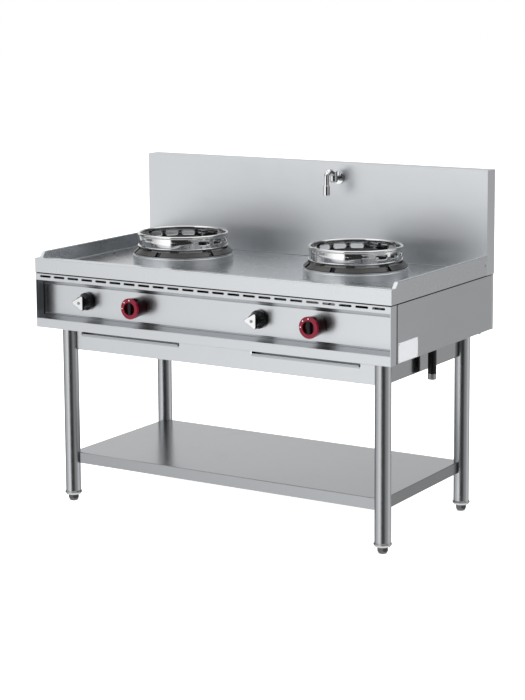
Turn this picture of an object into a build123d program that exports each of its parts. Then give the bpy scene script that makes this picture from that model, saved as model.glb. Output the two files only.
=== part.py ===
from build123d import *
import math
import os

# Two-burner wok range on four legs, with a tall backsplash and a wall tap.
# Millimetres, +Z up, +X to the right of someone who stands in front, +Y to the rear.
# Every length below is taken from the plane of the range's front, the floor and the
# middle of its width. Finished pieces are moved so that the origin lies on the floor
# under the middle of the whole range.

os.makedirs("parts", exist_ok=True)

# ---------------------------------------------------------------- driving dimensions
# whole range
WIDTH = 1300.0              # worktop, side to side
DEPTH = 700.0               # front plane to the rear cover
WORK_HEIGHT = 815.0         # floor to the top of the front lip
BACKSPLASH_HEIGHT = 1102.0  # floor to the top of the backsplash
SHEET = 1.5                 # body sheet
BEND = 3.0                  # outer radius of a sheet bend
TIGHT_BEND = 1.6            # outer radius where room is short
SEAT_GAP = 0.3              # between two pieces that rest against each other
SEAM = 1.5                  # open joint between neighbouring body sheets
PAST = 5.0                  # cuts run this far past what they cut
LAP = 1.0                   # joined shapes of one piece overlap by this much

# worktop
TOP_SHEET = 2.0
OVERHANG = 2.0              # worktop beyond the side panels
LIP_DROP = 47.5             # height of the front lip
LIP_LAND = 31.0             # depth of the flat top of the front lip
LIP_ROUND = 4.0
RECESS = 30.0               # lip top down to the worktop floor
UPSTAND_RISE = 17.0         # side upstand above the front lip
UPSTAND_WIDTH = 12.0
UPSTAND_FOOT = 26.0         # front plane to where the upstand leaves the lip
UPSTAND_SLOPE = 16.0        # run of its sloping front end
BACKSPLASH_DEPTH = 55.0
COVER_WRAP = 14.0           # rear covers fold round the sides by this much
FLOOR_TAIL = 15.0           # worktop floor that runs on under the backsplash

# front fascia
STRIP_HEIGHT = 24.0         # slotted strip under the lip
RECESS_DEPTH = 50.0         # control panel behind the front plane
UPPER_SLOPE = 19.0          # fall of the slope above the panel
PANEL_HEIGHT = 96.0
LEDGE_FALL = 10.0           # fall of the ledge below the panel
LOWER_BAND = 30.5           # height of the band under the ledge
SIDE_RETURN = 37.0          # fascia wraps the sides by this much
SLOT_COUNT = 23
SLOT_MARGIN = 20.2          # worktop side to the end of the slot row
SLOT_LENGTH = 43.0
SLOT_HEIGHT = 7.0
SLOT_DROP = 11.0            # lip's lower edge to the slots' axis

# stand
LEG_RADIUS = 25.0
LEG_WALL = 1.5
LEG_INSET = 72.0            # worktop side to the leg's axis
LEG_FRONT = 86.0            # front plane to the front legs' axes
LEG_REAR_INSET = 78.0       # rear plane to the rear legs' axes
LEG_START = 35.0            # floor to the tube's lower end
LEG_FIT = 0.2               # round what passes a sheet
FRAME_BAR = 60.0            # width of the top frame's bars
FRAME_WALL = 2.0
FRAME_CROSS = 30.0          # width of its middle bar
APRON_HEIGHT = 80.0
APRON_FOLD = 18.0
FLANGE_LAP = 14.0           # body flanges lie on the aprons by this much
SHELF_TOP = 164.0
SHELF_SKIRT = 36.0
SHELF_FOLD = 12.0

# levelling feet
SLEEVE_RADIUS = 28.5
SLEEVE_BOTTOM = 22.0
SLEEVE_EDGE = 4.0           # bevel of its lower edge
SLEEVE_PLUG = 34.0
PLUG_FIT = 0.05
STEM_RADIUS = 8.0
STEM_CLEARANCE = 0.08
STEM_LENGTH = 42.0
FOOT_CORNER = 18.2          # hexagon's middle to a corner
FOOT_FACE = 12.0            # radius of the face on the floor
FOOT_EDGE = 2.5

# drip trays
TRAY_SHIFT = -16.0          # tray's middle from its burner's middle
TRAY_OPENING = 385.0
TRAY_OPENING_HEIGHT = 22.0
TRAY_OPENING_LEDGE = 8.0    # apron left above the opening
TRAY_CLEARANCE = 4.0        # at each side in the opening
TRAY_WALL = 15.0
TRAY_FRONT = 118.0          # front plane to the tray's front wall
TRAY_REAR_GAP = 26.0        # tray's rear wall to the rear apron's face
TRAY_LIP = 4.5              # pull lip that hangs in front of the apron
RUNNER_LEDGE = 16.0
RUNNER_HEIGHT = 13.0
RUNNER_STRAP = 24.0         # cross strap that joins a tray's two runners

# burners
BURNER_INSET = 325.0        # worktop side to a burner's axis
BURNER_Y = 375.0
WORKTOP_HOLE = 150.0
COLLAR_RADIUS = 165.5
COLLAR_HEIGHT = 21.0
COLLAR_WALL = 3.0
GROOVE_HEIGHT = 5.0
GROOVE_DEPTH = 4.5
SUPPORT_RADIUS = 163.5
SUPPORT_EDGE = 2.5          # upright edge under the support's flank
SUPPORT_TOP_RADIUS = 149.0
SUPPORT_BORE = 131.0
SUPPORT_HEIGHT = 15.0
SUPPORT_WALL = 5.0
LUG_COUNT = 8
LUG_HEIGHT = 7.0
LUG_WIDTH = 26.0
NOTCH_WIDTH = 15.0          # air notches in the upper part of the support's flank
NOTCH_FOOT = 4.5            # flank left below a notch
NOTCH_ANGLES = (-43.0, 2.5, 69.0)   # degrees from the front toward +X; repeated at the rear
RING_RADIUS = 150.0         # top bead of the wok ring
RING_WAIST = 142.5
RING_HEIGHT = 45.0
RING_WALL = 2.5
RING_BEAD = 5.0
RING_FLANGE = 3.7
RING_EDGE = 1.0
VENT_COUNT = 5              # oblong vents on each side
VENT_FIRST = 27.0           # degrees from the rear to the first vent's middle
VENT_STEP = 22.6
VENT_LENGTH = 46.0
VENT_HEIGHT = 17.0
VENT_RISE = 0.85            # vents' axis above the middle between flange and top
BOWL_DEPTH = 71.0
BOWL_RIM = 162.0
BOWL_BORE = 95.0
BOWL_FOOT = 138.0           # wall's radius where it meets the bowl's bottom
CROWN_RADIUS = 72.0
CROWN_HEIGHT = 56.0
CROWN_WALL = 6.0
CROWN_SLOPE = 14.0          # bevel of the crown's upper edge
CROWN_SKIRT = 12.0          # bowl's bottom to the crown's underside
CHAMBER_RADIUS = 40.0
CHAMBER_MARGIN = 2.5        # chamber's bottom under the mixing tube
CHAMBER_NECK = 4.0          # bowl's bottom to where the chamber flares
ARM_COUNT = 3
ARM_REACH = 108.0
ARM_WIDTH = 16.0
ARM_THICKNESS = 8.0
PORT_COUNT = 20
PORT_WIDTH = 5.0
PORT_FOOT = 9.0             # crown's underside to a port
PORT_HEIGHT = 17.0
VENTURI_RADIUS = 22.0
VENTURI_WALL = 3.0
VENTURI_MOUTH = 30.0
VENTURI_JOINT = 55.0        # burner's axis to the joint of tube and burner head
VENTURI_BEND = 70.0
MOUTH_GAP = 38.0            # valve's rear to the mixing tube's mouth
MOUTH_FLARE = 30.0
MOUTH_LEAD = 38.0           # straight run behind the flare
JOINT_LEAD = 34.0           # straight run in front of the joint
INJECTOR_CORNER = 10.0
INJECTOR_SEAT = 10.0
INJECTOR_REACH = 32.0       # valve's rear to the injector's tip
INJECTOR_BASE = 6.0
INJECTOR_TIP = 3.5
INJECTOR_BORE = 1.0
SENSOR_RADIUS = 2.5
SENSOR_BASE = 6.0
SENSOR_ANGLE = 150.0        # degrees round the burner
SENSOR_STAND = 12.0         # sensor outside the bowl's bore
SENSOR_DROP = 8.0           # its tip under the crown's top
PILOT_STAND = 59.0          # pilot's tip from the burner's axis, along the width and the depth
PILOT_RUN = 73.0            # pilot tube's straight run behind its valve
PILOT_TUBE_RADIUS = 3.5
PILOT_TUBE_BORE = 2.0
PILOT_TUBE_BEND = 18.0
PILOT_TIP_RADIUS = 6.0
PILOT_TIP = 15.0
PILOT_TIP_CONE = 4.0
PILOT_TIP_DROP = 6.0        # its top under the crown's top

# controls
CONTROL_RISE = 3.5          # knobs' axes above the panel's middle
BURNER_KNOB_SHIFT = 52.0    # red knob's axis from its burner's middle
PILOT_KNOB_SHIFT = -151.0
KNOB_PROUD = 8.0            # red knobs stand this far in front of the front plane
BURNER_KNOB_RADIUS = 33.5   # at its face
BURNER_KNOB_REAR = 29.5     # radius at its rear edge
BURNER_KNOB_BORE = 20.5
KNOB_ROUND = 3.0
KNOB_WALL = 3.0
KNOB_HUB_RADIUS = 9.0
KNOB_HUB_START = 12.0       # front plane to the end of the spindle's bore
GRIP_WIDTH = 11.0
GRIP_FLOOR = 3.0            # sunken face behind the front plane
GRIP_SINK = 2.0             # grip bar behind the knob's rim
PILOT_SKIRT_RADIUS = 28.5
PILOT_SKIRT = 11.0
PILOT_BODY_RADIUS = 19.0
PILOT_CORNER = 26.5         # face's middle to a rounded corner
PILOT_ROUND = 4.5
PILOT_FACE = 9.0            # thickness of the three-cornered face
PILOT_BORE_START = 6.0
PILOT_TRAVEL = 4.0          # push of the pilot knob
KNOB_GAP = 0.6              # knob's rear to the panel at its stop
SPINDLE_RADIUS = 4.0
SPINDLE_FIT = 0.06
SPINDLE_FLAT = 1.0
SPINDLE_DEPTH = 27.0        # spindle's bore in the valve
SPINDLE_LEAD = 6.0          # round part in front of the panel
PANEL_HOLE = 6.0
VALVE_LENGTH = 46.0
BURNER_VALVE_RADIUS = 16.0
PILOT_VALVE_RADIUS = 12.0
SADDLE_RADIUS = 8.0         # neck that joins a valve to the manifold
SADDLE_FIT = 0.1
GAS_PIPE_RADIUS = 13.35
GAS_PIPE_WALL = 2.6
GAS_PIPE_CAP = 4.0
MANIFOLD_DROP = 34.0        # manifold's axis under the valves' axes
MANIFOLD_TAIL = 29.0        # its closed end beyond the last valve's axis
MANIFOLD_LEAD = 30.0        # its open end to where the inlet pipe turns to the rear
INLET_BEND = 26.0
INLET_CROSS = 76.0          # run of the inlet pipe out to its drop
INLET_STAND_OFF = 28.0      # gas inlet outside the side apron
INLET_Y = 352.0
INLET_DROP = 24.0           # its end below the aprons
INLET_HOLE = 16.0
INLET_THREAD_RADIUS = 13.2  # bare end, ready for a 3/4 inch pipe thread
INLET_THREAD = 18.0

# wall tap
TAP_X = 114.0
TAP_DROP = 49.0             # backsplash's top to the tap's axis
TAP_FLANGE_RADIUS = 20.0
TAP_FLANGE = 6.0
TAP_BARREL_RADIUS = 8.5
TAP_TURRET_RADIUS = 13.0
TAP_TURRET_REACH = 34.0     # backsplash face to the swivel's axis
TAP_TURRET_RISE = 9.0       # tap's axis to the turret's top
TAP_TURRET_FOOT = 13.0      # tap's axis to the turret's bottom
TAP_TURRET_ROUND = 7.0
TAP_PIN_RADIUS = 5.5
TAP_PIN = 11.0
TAP_SHANK_RADIUS = 10.0
TAP_SHANK = 12.0
TAP_NUT_CORNER = 17.0
TAP_REACH = 83.0            # backsplash face to the outlet's axis
SPOUT_HUB_RADIUS = 12.0
SPOUT_HUB = 17.0
SPOUT_HUB_ROUND = 3.0
SPOUT_START = 8.0           # swivel's axis to the start of the tube
SPOUT_LIFT = 8.0           # rise of the tube's arch over its start
SPOUT_LIFT_RUN = 14.0
SPOUT_RADIUS = 8.5
SPOUT_WALL = 1.5
SPOUT_BEND = 20.0
AERATOR_RADIUS = 11.0
AERATOR_WALL = 2.0
AERATOR_CAP = 5.0
AERATOR_DROP = 50.0         # tap's axis to the aerator's end
AERATOR_LENGTH = 32.0
WATER_PIPE_RADIUS = 7.5
WATER_PIPE_REACH = 27.0     # backsplash face to the pipe's axis
WATER_PIPE_BEND = 11.0
WATER_INLET_RADIUS = 10.4
WATER_INLET_LENGTH = 15.0
WATER_DROP = 28.0           # its end below the body
WATER_HOLE = 12.0

# screws
SCREW_RADIUS = 4.0
SCREW_DOME = 1.6
SCREW_BACK = 10.0           # backsplash face to a skirt screw
SCREW_DROP = 15.0           # front lip's top to a skirt screw

# ---------------------------------------------------------------- sizes that follow
ORIGIN_SHIFT = -(DEPTH - KNOB_PROUD) / 2.0
HALF = WIDTH / 2.0
SIDE = HALF - OVERHANG
PANEL_EDGE = SIDE - SHEET
RELIEF = SIDE - BEND - SEAT_GAP
SKIRT_BOTTOM = WORK_HEIGHT - LIP_DROP
BODY_TOP = SKIRT_BOTTOM - SEAM
FLOOR_TOP = WORK_HEIGHT - RECESS
FLOOR_UNDER = FLOOR_TOP - TOP_SHEET
UPSTAND_TOP = WORK_HEIGHT + UPSTAND_RISE
UPSTAND_INNER = HALF - UPSTAND_WIDTH
SPLASH_FACE = DEPTH - BACKSPLASH_DEPTH
FLOOR_END = SPLASH_FACE + FLOOR_TAIL
COVER_FRONT = DEPTH - COVER_WRAP
STRIP_BOTTOM = SKIRT_BOTTOM - STRIP_HEIGHT
PANEL_TOP = STRIP_BOTTOM - UPPER_SLOPE
PANEL_BOTTOM = PANEL_TOP - PANEL_HEIGHT
LEDGE_FRONT = PANEL_BOTTOM - LEDGE_FALL
BODY_BOTTOM = LEDGE_FRONT - LOWER_BAND
PANEL_BACK = RECESS_DEPTH + SHEET
CONTROL_HEIGHT = (PANEL_TOP + PANEL_BOTTOM) / 2.0 + CONTROL_RISE
SLOT_PITCH = (WIDTH - 2.0 * SLOT_MARGIN - SLOT_LENGTH) / (SLOT_COUNT - 1)
LEG_REAR = DEPTH - LEG_REAR_INSET
LEG_X = HALF - LEG_INSET
APRON_END = LEG_X - LEG_RADIUS - LEG_FIT
APRON_BOTTOM = BODY_BOTTOM - APRON_HEIGHT
FRONT_FLANGE_TOP = LEG_FRONT - LEG_RADIUS - 1.0
FRONT_FLANGE_LOW = LEG_FRONT + FLANGE_LAP
REAR_FLANGE_TOP = LEG_REAR + LEG_RADIUS + 1.0
REAR_FLANGE_LOW = LEG_REAR - FLANGE_LAP
SIDE_FLANGE_TOP = LEG_X + LEG_RADIUS + 1.0
SIDE_FLANGE_LOW = LEG_X - FLANGE_LAP
TRAY_OPENING_TOP = BODY_BOTTOM - TRAY_OPENING_LEDGE
TRAY_OPENING_BOTTOM = TRAY_OPENING_TOP - TRAY_OPENING_HEIGHT
TRAY_HALF = TRAY_OPENING / 2.0 - TRAY_CLEARANCE
TRAY_BOTTOM = TRAY_OPENING_BOTTOM + SEAT_GAP
TRAY_REAR = LEG_REAR - TRAY_REAR_GAP
SHELF_BOTTOM = SHELF_TOP - SHELF_SKIRT
COLLAR_TOP = FLOOR_TOP + COLLAR_HEIGHT
GROOVE_TOP = COLLAR_TOP + GROOVE_HEIGHT
SUPPORT_BOTTOM = GROOVE_TOP + SEAT_GAP
SUPPORT_TOP = SUPPORT_BOTTOM + SUPPORT_HEIGHT
LUG_TOP = SUPPORT_TOP + LUG_HEIGHT
RING_BOTTOM = LUG_TOP + SEAT_GAP
RING_TOP = RING_BOTTOM + RING_HEIGHT
BOWL_BOTTOM = FLOOR_UNDER - BOWL_DEPTH
HEAD_SEAT = BOWL_BOTTOM + SHEET
CROWN_TOP = HEAD_SEAT + CROWN_HEIGHT
CHAMBER_BOTTOM = CONTROL_HEIGHT - VENTURI_RADIUS - CHAMBER_MARGIN
VENTURI_END = BURNER_Y - VENTURI_JOINT
VALVE_REAR = PANEL_BACK + VALVE_LENGTH
MANIFOLD_Y = PANEL_BACK + VALVE_LENGTH / 2.0
MANIFOLD_HEIGHT = CONTROL_HEIGHT - MANIFOLD_DROP
INLET_X = LEG_X + INLET_STAND_OFF
INLET_TURN = INLET_X - INLET_CROSS
INLET_BOTTOM = APRON_BOTTOM - INLET_DROP
MANIFOLD_START = -HALF + BURNER_INSET + PILOT_KNOB_SHIFT - MANIFOLD_TAIL
MANIFOLD_END = INLET_TURN - MANIFOLD_LEAD
BORE = SPINDLE_RADIUS + SPINDLE_FIT
KNOB_REAR = RECESS_DEPTH - KNOB_GAP
TAP_HEIGHT = BACKSPLASH_HEIGHT - TAP_DROP
TAP_TURRET_TOP = TAP_HEIGHT + TAP_TURRET_RISE
AERATOR_BOTTOM = TAP_HEIGHT - AERATOR_DROP
WATER_INLET = BODY_BOTTOM - WATER_DROP
WATER_PIPE_Y = SPLASH_FACE + WATER_PIPE_REACH
SWIVEL_Y = SPLASH_FACE - TAP_TURRET_REACH
OUTLET_Y = SPLASH_FACE - TAP_REACH

SIDES = {"left": -1.0, "right": 1.0}
BURNERS = {name: sign * (HALF - BURNER_INSET) for name, sign in SIDES.items()}
LEGS = {
    "front_left": (-LEG_X, LEG_FRONT),
    "front_right": (LEG_X, LEG_FRONT),
    "rear_left": (-LEG_X, LEG_REAR),
    "rear_right": (LEG_X, LEG_REAR),
}


# ---------------------------------------------------------------- shaping helpers
def save(name, shape):
    """Move a finished piece to the range's own origin and write it."""
    export_step(Pos(0, ORIGIN_SHIFT, 0) * shape, f"parts/{name}.step")


def group(pieces):
    """Several equal pieces as one node of separate solids."""
    return Compound([solid for piece in pieces for solid in piece.solids()])


def block(x0, x1, y0, y1, z0, z1):
    """Rectangular block between two corners."""
    middle = Pos((x0 + x1) / 2.0, (y0 + y1) / 2.0, (z0 + z1) / 2.0)
    return middle * Box(abs(x1 - x0), abs(y1 - y0), abs(z1 - z0))


def upright(x, y, z0, z1, radius):
    """Vertical round bar."""
    return Pos(x, y, (z0 + z1) / 2.0) * Cylinder(radius, abs(z1 - z0))


def bar_x(y, z, x0, x1, radius):
    """Round bar along the width."""
    return Pos((x0 + x1) / 2.0, y, z) * Rot(0, 90, 0) * Cylinder(radius, abs(x1 - x0))


def bar_y(x, z, y0, y1, radius):
    """Round bar along the depth."""
    return Pos(x, (y0 + y1) / 2.0, z) * Rot(90, 0, 0) * Cylinder(radius, abs(y1 - y0))


def hex_y(x, z, y0, y1, corner_radius):
    """Hexagonal bar along the depth."""
    hexagon = Plane.XZ * RegularPolygon(corner_radius, 6)
    return Pos(x, y1, z) * extrude(hexagon, amount=y1 - y0)


def closed_face(points):
    """Flat face inside a closed outline."""
    return make_face(Polyline(*points, close=True))


def turned(points, x=0.0, y=0.0):
    """Piece turned about the upright axis at x, y from a closed (radius, height) outline."""
    return Pos(x, y, 0) * revolve(Plane.XZ * closed_face(points), axis=Axis.Z)


def turned_y(points, x, z):
    """Piece turned about an axis along the depth from a closed (radius, y) outline."""
    return Pos(x, 0, z) * revolve(closed_face(points), axis=Axis.Y)


def folded(points, thickness=SHEET, bend=BEND):
    """Section of a folded sheet. The points run along its outer face, body on their left."""
    line = FilletPolyline(*points, radius=bend)
    return make_face(offset(line, amount=thickness, side=Side.LEFT, closed=True))


def across(profile, x0, x1):
    """Push a (y, z) section along the width."""
    return Pos(x0, 0, 0) * extrude(Plane.YZ * profile, amount=x1 - x0)


def along(profile, y0, y1):
    """Push an (x, z) section along the depth."""
    return Pos(0, y1, 0) * extrude(Plane.XZ * profile, amount=y1 - y0)


def pipe(points, radius, bore, bend):
    """Round pipe along straight runs that are joined by bends."""
    route = FilletPolyline(*points, radius=bend)
    section = Circle(radius) - Circle(bore) if bore else Circle(radius)
    return sweep(Plane(route @ 0, z_dir=route % 0) * section, path=route)


def mirrored(shape):
    """The same piece on the other side of the range's middle."""
    return mirror(shape, about=Plane.YZ)


def leg_columns(z0, z1):
    """The room the four legs need where they pass a sheet."""
    return [upright(x, y, z0, z1, LEG_RADIUS + LEG_FIT) for x, y in LEGS.values()]


# ---------------------------------------------------------------- worktop
def worktop_mass(inset, bottom):
    """Space under the worktop's face, drawn in by inset; two of them bound the sheet."""
    land = WORK_HEIGHT - inset
    top = UPSTAND_TOP - inset
    ramp = UPSTAND_FOOT + inset * (math.hypot(UPSTAND_SLOPE, UPSTAND_RISE) - UPSTAND_SLOPE) / UPSTAND_RISE
    ramp_end = ramp + UPSTAND_SLOPE
    mass = block(-HALF + inset, HALF - inset, inset, SPLASH_FACE, bottom, top)
    above = top + PAST
    over_lip = [(-PAST, land), (ramp, land), (ramp_end, top), (ramp_end, above), (-PAST, above)]
    mass -= across(closed_face(over_lip), -HALF - PAST, HALF + PAST)
    side = UPSTAND_INNER + inset
    mass -= block(-side, side, -PAST, LIP_LAND, land, above)
    pocket_end = SPLASH_FACE + LIP_ROUND + TOP_SHEET + PAST
    pocket = block(-side, side, LIP_LAND - inset, pocket_end, FLOOR_TOP - inset, above)
    mass -= fillet(pocket.edges().group_by(Axis.Z)[0], LIP_ROUND + inset)
    crest = mass.edges().filter_by(Axis.Y).filter_by(lambda e: e.center().Z > top - SEAT_GAP)
    lip = mass.edges().filter_by(Axis.X).filter_by(lambda e: e.center().Z > land - SEAT_GAP and e.length > HALF)
    return fillet(crest + lip, LIP_ROUND - inset)


worktop = worktop_mass(0, SKIRT_BOTTOM) - worktop_mass(TOP_SHEET, SKIRT_BOTTOM - PAST)
worktop += block(-UPSTAND_INNER, UPSTAND_INNER, SPLASH_FACE - LAP, FLOOR_END, FLOOR_UNDER, FLOOR_TOP)
for burner_x in BURNERS.values():
    worktop -= upright(burner_x, BURNER_Y, FLOOR_UNDER - PAST, FLOOR_TOP + PAST, WORKTOP_HOLE)
save("worktop", worktop)

# ---------------------------------------------------------------- backsplash
splash_section = folded(
    [
        (DEPTH, BACKSPLASH_HEIGHT),
        (SPLASH_FACE, BACKSPLASH_HEIGHT),
        (SPLASH_FACE, FLOOR_TOP),
        (FLOOR_END, FLOOR_TOP),
    ]
)
cover_top = BACKSPLASH_HEIGHT - SHEET
backsplash = across(splash_section, -HALF + SHEET, HALF - SHEET)
cover = block(-HALF, HALF, DEPTH - SHEET, DEPTH, SKIRT_BOTTOM, cover_top)
for side in SIDES.values():
    outer = side * HALF
    inner = side * (HALF - SHEET)
    backsplash += block(outer, inner, SPLASH_FACE, COVER_FRONT, SKIRT_BOTTOM, BACKSPLASH_HEIGHT)
    backsplash += block(outer, inner, COVER_FRONT - LAP, DEPTH, cover_top, BACKSPLASH_HEIGHT)
    cover += block(outer, inner, COVER_FRONT, DEPTH, SKIRT_BOTTOM, cover_top)
backsplash -= bar_y(TAP_X, TAP_HEIGHT, SPLASH_FACE - PAST, SPLASH_FACE + PAST, TAP_SHANK_RADIUS + LEG_FIT)
save("backsplash", backsplash)
save("backsplash_rear_cover", cover)

# ---------------------------------------------------------------- body sheets
fascia_section = folded(
    [
        (FRONT_FLANGE_TOP, BODY_TOP),
        (0, BODY_TOP),
        (0, STRIP_BOTTOM),
        (RECESS_DEPTH, PANEL_TOP),
        (RECESS_DEPTH, PANEL_BOTTOM),
        (0, LEDGE_FRONT),
        (0, BODY_BOTTOM),
        (FRONT_FLANGE_LOW, BODY_BOTTOM),
    ]
)
fascia = across(fascia_section, -PANEL_EDGE, PANEL_EDGE)
for side in SIDES.values():
    fascia += block(side * SIDE, side * PANEL_EDGE, 0, SIDE_RETURN, BODY_BOTTOM, BODY_TOP)
    for level in (BODY_BOTTOM, BODY_TOP):
        relief = (SIDE_RETURN, FRONT_FLANGE_LOW + PAST, level - PAST, level + PAST)
        fascia -= block(side * RELIEF, side * SIDE, *relief)
slot_outline = Plane.XZ * SlotOverall(SLOT_LENGTH, SLOT_HEIGHT)
slot = Pos(0, PAST, SKIRT_BOTTOM - SLOT_DROP) * extrude(slot_outline, amount=2 * PAST)
first_slot = -(SLOT_COUNT - 1) * SLOT_PITCH / 2.0
fascia -= [Pos(first_slot + i * SLOT_PITCH, 0, 0) * slot for i in range(SLOT_COUNT)]
for burner_x in BURNERS.values():
    for shift in (BURNER_KNOB_SHIFT, PILOT_KNOB_SHIFT):
        panel_hole = (RECESS_DEPTH - PAST, RECESS_DEPTH + PAST, PANEL_HOLE)
        fascia -= bar_y(burner_x + shift, CONTROL_HEIGHT, *panel_hole)
fascia -= leg_columns(BODY_BOTTOM - PAST, BODY_BOTTOM + PAST)
save("front_fascia", fascia)

side_section = folded(
    [
        (SIDE_FLANGE_LOW, BODY_BOTTOM),
        (SIDE, BODY_BOTTOM),
        (SIDE, BODY_TOP),
        (SIDE_FLANGE_TOP, BODY_TOP),
    ]
)
side_panel = along(side_section, SIDE_RETURN + SEAM, COVER_FRONT)
for y0, y1, level in (
    (0, FRONT_FLANGE_TOP + SEAM, BODY_TOP),
    (REAR_FLANGE_TOP - SEAM, DEPTH, BODY_TOP),
    (0, FRONT_FLANGE_LOW + SEAM, BODY_BOTTOM),
    (REAR_FLANGE_LOW - SEAM, DEPTH, BODY_BOTTOM),
):
    side_panel -= block(SIDE_FLANGE_LOW - PAST, SIDE - BEND, y0, y1, level - PAST, level + PAST)
side_panel -= leg_columns(BODY_BOTTOM - PAST, BODY_BOTTOM + PAST)
save("side_panel_left", mirrored(side_panel))
side_panel -= upright(INLET_X, INLET_Y, BODY_BOTTOM - PAST, BODY_BOTTOM + PAST, INLET_HOLE)
save("side_panel_right", side_panel)

rear_section = folded(
    [
        (REAR_FLANGE_LOW, BODY_BOTTOM),
        (DEPTH, BODY_BOTTOM),
        (DEPTH, BODY_TOP),
        (REAR_FLANGE_TOP, BODY_TOP),
    ]
)
rear_panel = across(rear_section, -PANEL_EDGE, PANEL_EDGE)
for side in SIDES.values():
    rear_panel += block(side * SIDE, side * PANEL_EDGE, COVER_FRONT, DEPTH, BODY_BOTTOM, BODY_TOP)
    for level in (BODY_BOTTOM, BODY_TOP):
        relief = (REAR_FLANGE_LOW - PAST, COVER_FRONT, level - PAST, level + PAST)
        rear_panel -= block(side * RELIEF, side * SIDE, *relief)
rear_panel -= upright(TAP_X, WATER_PIPE_Y, BODY_BOTTOM - PAST, BODY_TOP + PAST, WATER_HOLE)
rear_panel -= leg_columns(BODY_BOTTOM - PAST, BODY_BOTTOM + PAST)
save("rear_panel", rear_panel)

# ---------------------------------------------------------------- stand
frame_x = LEG_X + FRAME_BAR / 2.0
frame_in_x = LEG_X - FRAME_BAR / 2.0
frame_front = LEG_FRONT - FRAME_BAR / 2.0
frame_rear = LEG_REAR + FRAME_BAR / 2.0
top_frame = block(-frame_x, frame_x, frame_front, frame_rear, BODY_TOP, FLOOR_UNDER)
for bay in (-1, 1):
    top_frame -= block(
        bay * FRAME_CROSS / 2.0,
        bay * frame_in_x,
        frame_front + FRAME_BAR,
        frame_rear - FRAME_BAR,
        BODY_TOP - PAST,
        FLOOR_UNDER + PAST,
    )
frame_roof = FLOOR_UNDER - FRAME_WALL
for y0 in (frame_front, frame_rear - FRAME_BAR):
    hollow = (y0 + FRAME_WALL, y0 + FRAME_BAR - FRAME_WALL)
    top_frame -= block(-frame_in_x, frame_in_x, *hollow, BODY_TOP - PAST, frame_roof)
for x0 in (-frame_x, -FRAME_CROSS / 2.0, frame_in_x):
    width = FRAME_CROSS if abs(x0) < FRAME_BAR else FRAME_BAR
    hollow = (x0 + FRAME_WALL, x0 + width - FRAME_WALL)
    run = (frame_front + FRAME_BAR, frame_rear - FRAME_BAR)
    top_frame -= block(*hollow, *run, BODY_TOP - PAST, frame_roof)
save("top_frame", top_frame)

for name, (leg_x, leg_y) in LEGS.items():
    tube = upright(leg_x, leg_y, LEG_START, BODY_TOP, LEG_RADIUS)
    tube -= upright(leg_x, leg_y, LEG_START - PAST, BODY_TOP + PAST, LEG_RADIUS - LEG_WALL)
    save(f"leg_{name}", tube)

plug_radius = LEG_RADIUS - LEG_WALL - PLUG_FIT
stem_bore = STEM_RADIUS + STEM_CLEARANCE
sleeves = [
    turned(
        [
            (stem_bore, SLEEVE_BOTTOM),
            (SLEEVE_RADIUS - SLEEVE_EDGE, SLEEVE_BOTTOM),
            (SLEEVE_RADIUS, (SLEEVE_BOTTOM + LEG_START) / 2.0),
            (LEG_RADIUS, LEG_START),
            (plug_radius, LEG_START),
            (plug_radius, LEG_START + SLEEVE_PLUG),
            (stem_bore, LEG_START + SLEEVE_PLUG),
        ],
        leg_x,
        leg_y,
    )
    for leg_x, leg_y in LEGS.values()
]
save("leg_sleeves", group(sleeves))

hexagon = extrude(RegularPolygon(FOOT_CORNER, 6), amount=SLEEVE_BOTTOM)
bullet = turned(
    [
        (0, 0),
        (FOOT_FACE, 0),
        (FOOT_CORNER, SLEEVE_BOTTOM / 2.0),
        (FOOT_CORNER, SLEEVE_BOTTOM - FOOT_EDGE),
        (FOOT_CORNER - FOOT_EDGE, SLEEVE_BOTTOM),
        (0, SLEEVE_BOTTOM),
    ]
)
foot = (hexagon & bullet) + upright(0, 0, SLEEVE_BOTTOM - LAP, SLEEVE_BOTTOM + STEM_LENGTH, STEM_RADIUS)
for name, (leg_x, leg_y) in LEGS.items():
    save(f"adjustable_foot_{name}", Pos(leg_x, leg_y, 0) * foot)

# aprons between the legs; their outer faces lie in the planes of the legs' axes
apron_low = APRON_BOTTOM
front_apron = across(
    folded(
        [
            (LEG_FRONT + APRON_FOLD, BODY_BOTTOM),
            (LEG_FRONT, BODY_BOTTOM),
            (LEG_FRONT, apron_low),
            (LEG_FRONT + APRON_FOLD, apron_low),
        ]
    ),
    -APRON_END,
    APRON_END,
)
for burner_x in BURNERS.values():
    tray_x = burner_x + TRAY_SHIFT
    front_apron -= block(
        tray_x - TRAY_OPENING / 2.0,
        tray_x + TRAY_OPENING / 2.0,
        LEG_FRONT - PAST,
        LEG_FRONT + PAST,
        TRAY_OPENING_BOTTOM,
        TRAY_OPENING_TOP,
    )
save("front_apron", front_apron)

rear_apron_section = folded(
    [
        (LEG_REAR - APRON_FOLD, apron_low),
        (LEG_REAR, apron_low),
        (LEG_REAR, BODY_BOTTOM),
        (LEG_REAR - APRON_FOLD, BODY_BOTTOM),
    ]
)
save("rear_apron", across(rear_apron_section, -APRON_END, APRON_END))

side_apron_section = folded(
    [
        (LEG_X - APRON_FOLD, apron_low),
        (LEG_X, apron_low),
        (LEG_X, BODY_BOTTOM),
        (LEG_X - APRON_FOLD, BODY_BOTTOM),
    ]
)
side_apron_reach = LEG_RADIUS + LEG_FIT
side_apron = along(side_apron_section, LEG_FRONT + side_apron_reach, LEG_REAR - side_apron_reach)
save("side_apron_left", mirrored(side_apron))
save("side_apron_right", side_apron)

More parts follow.
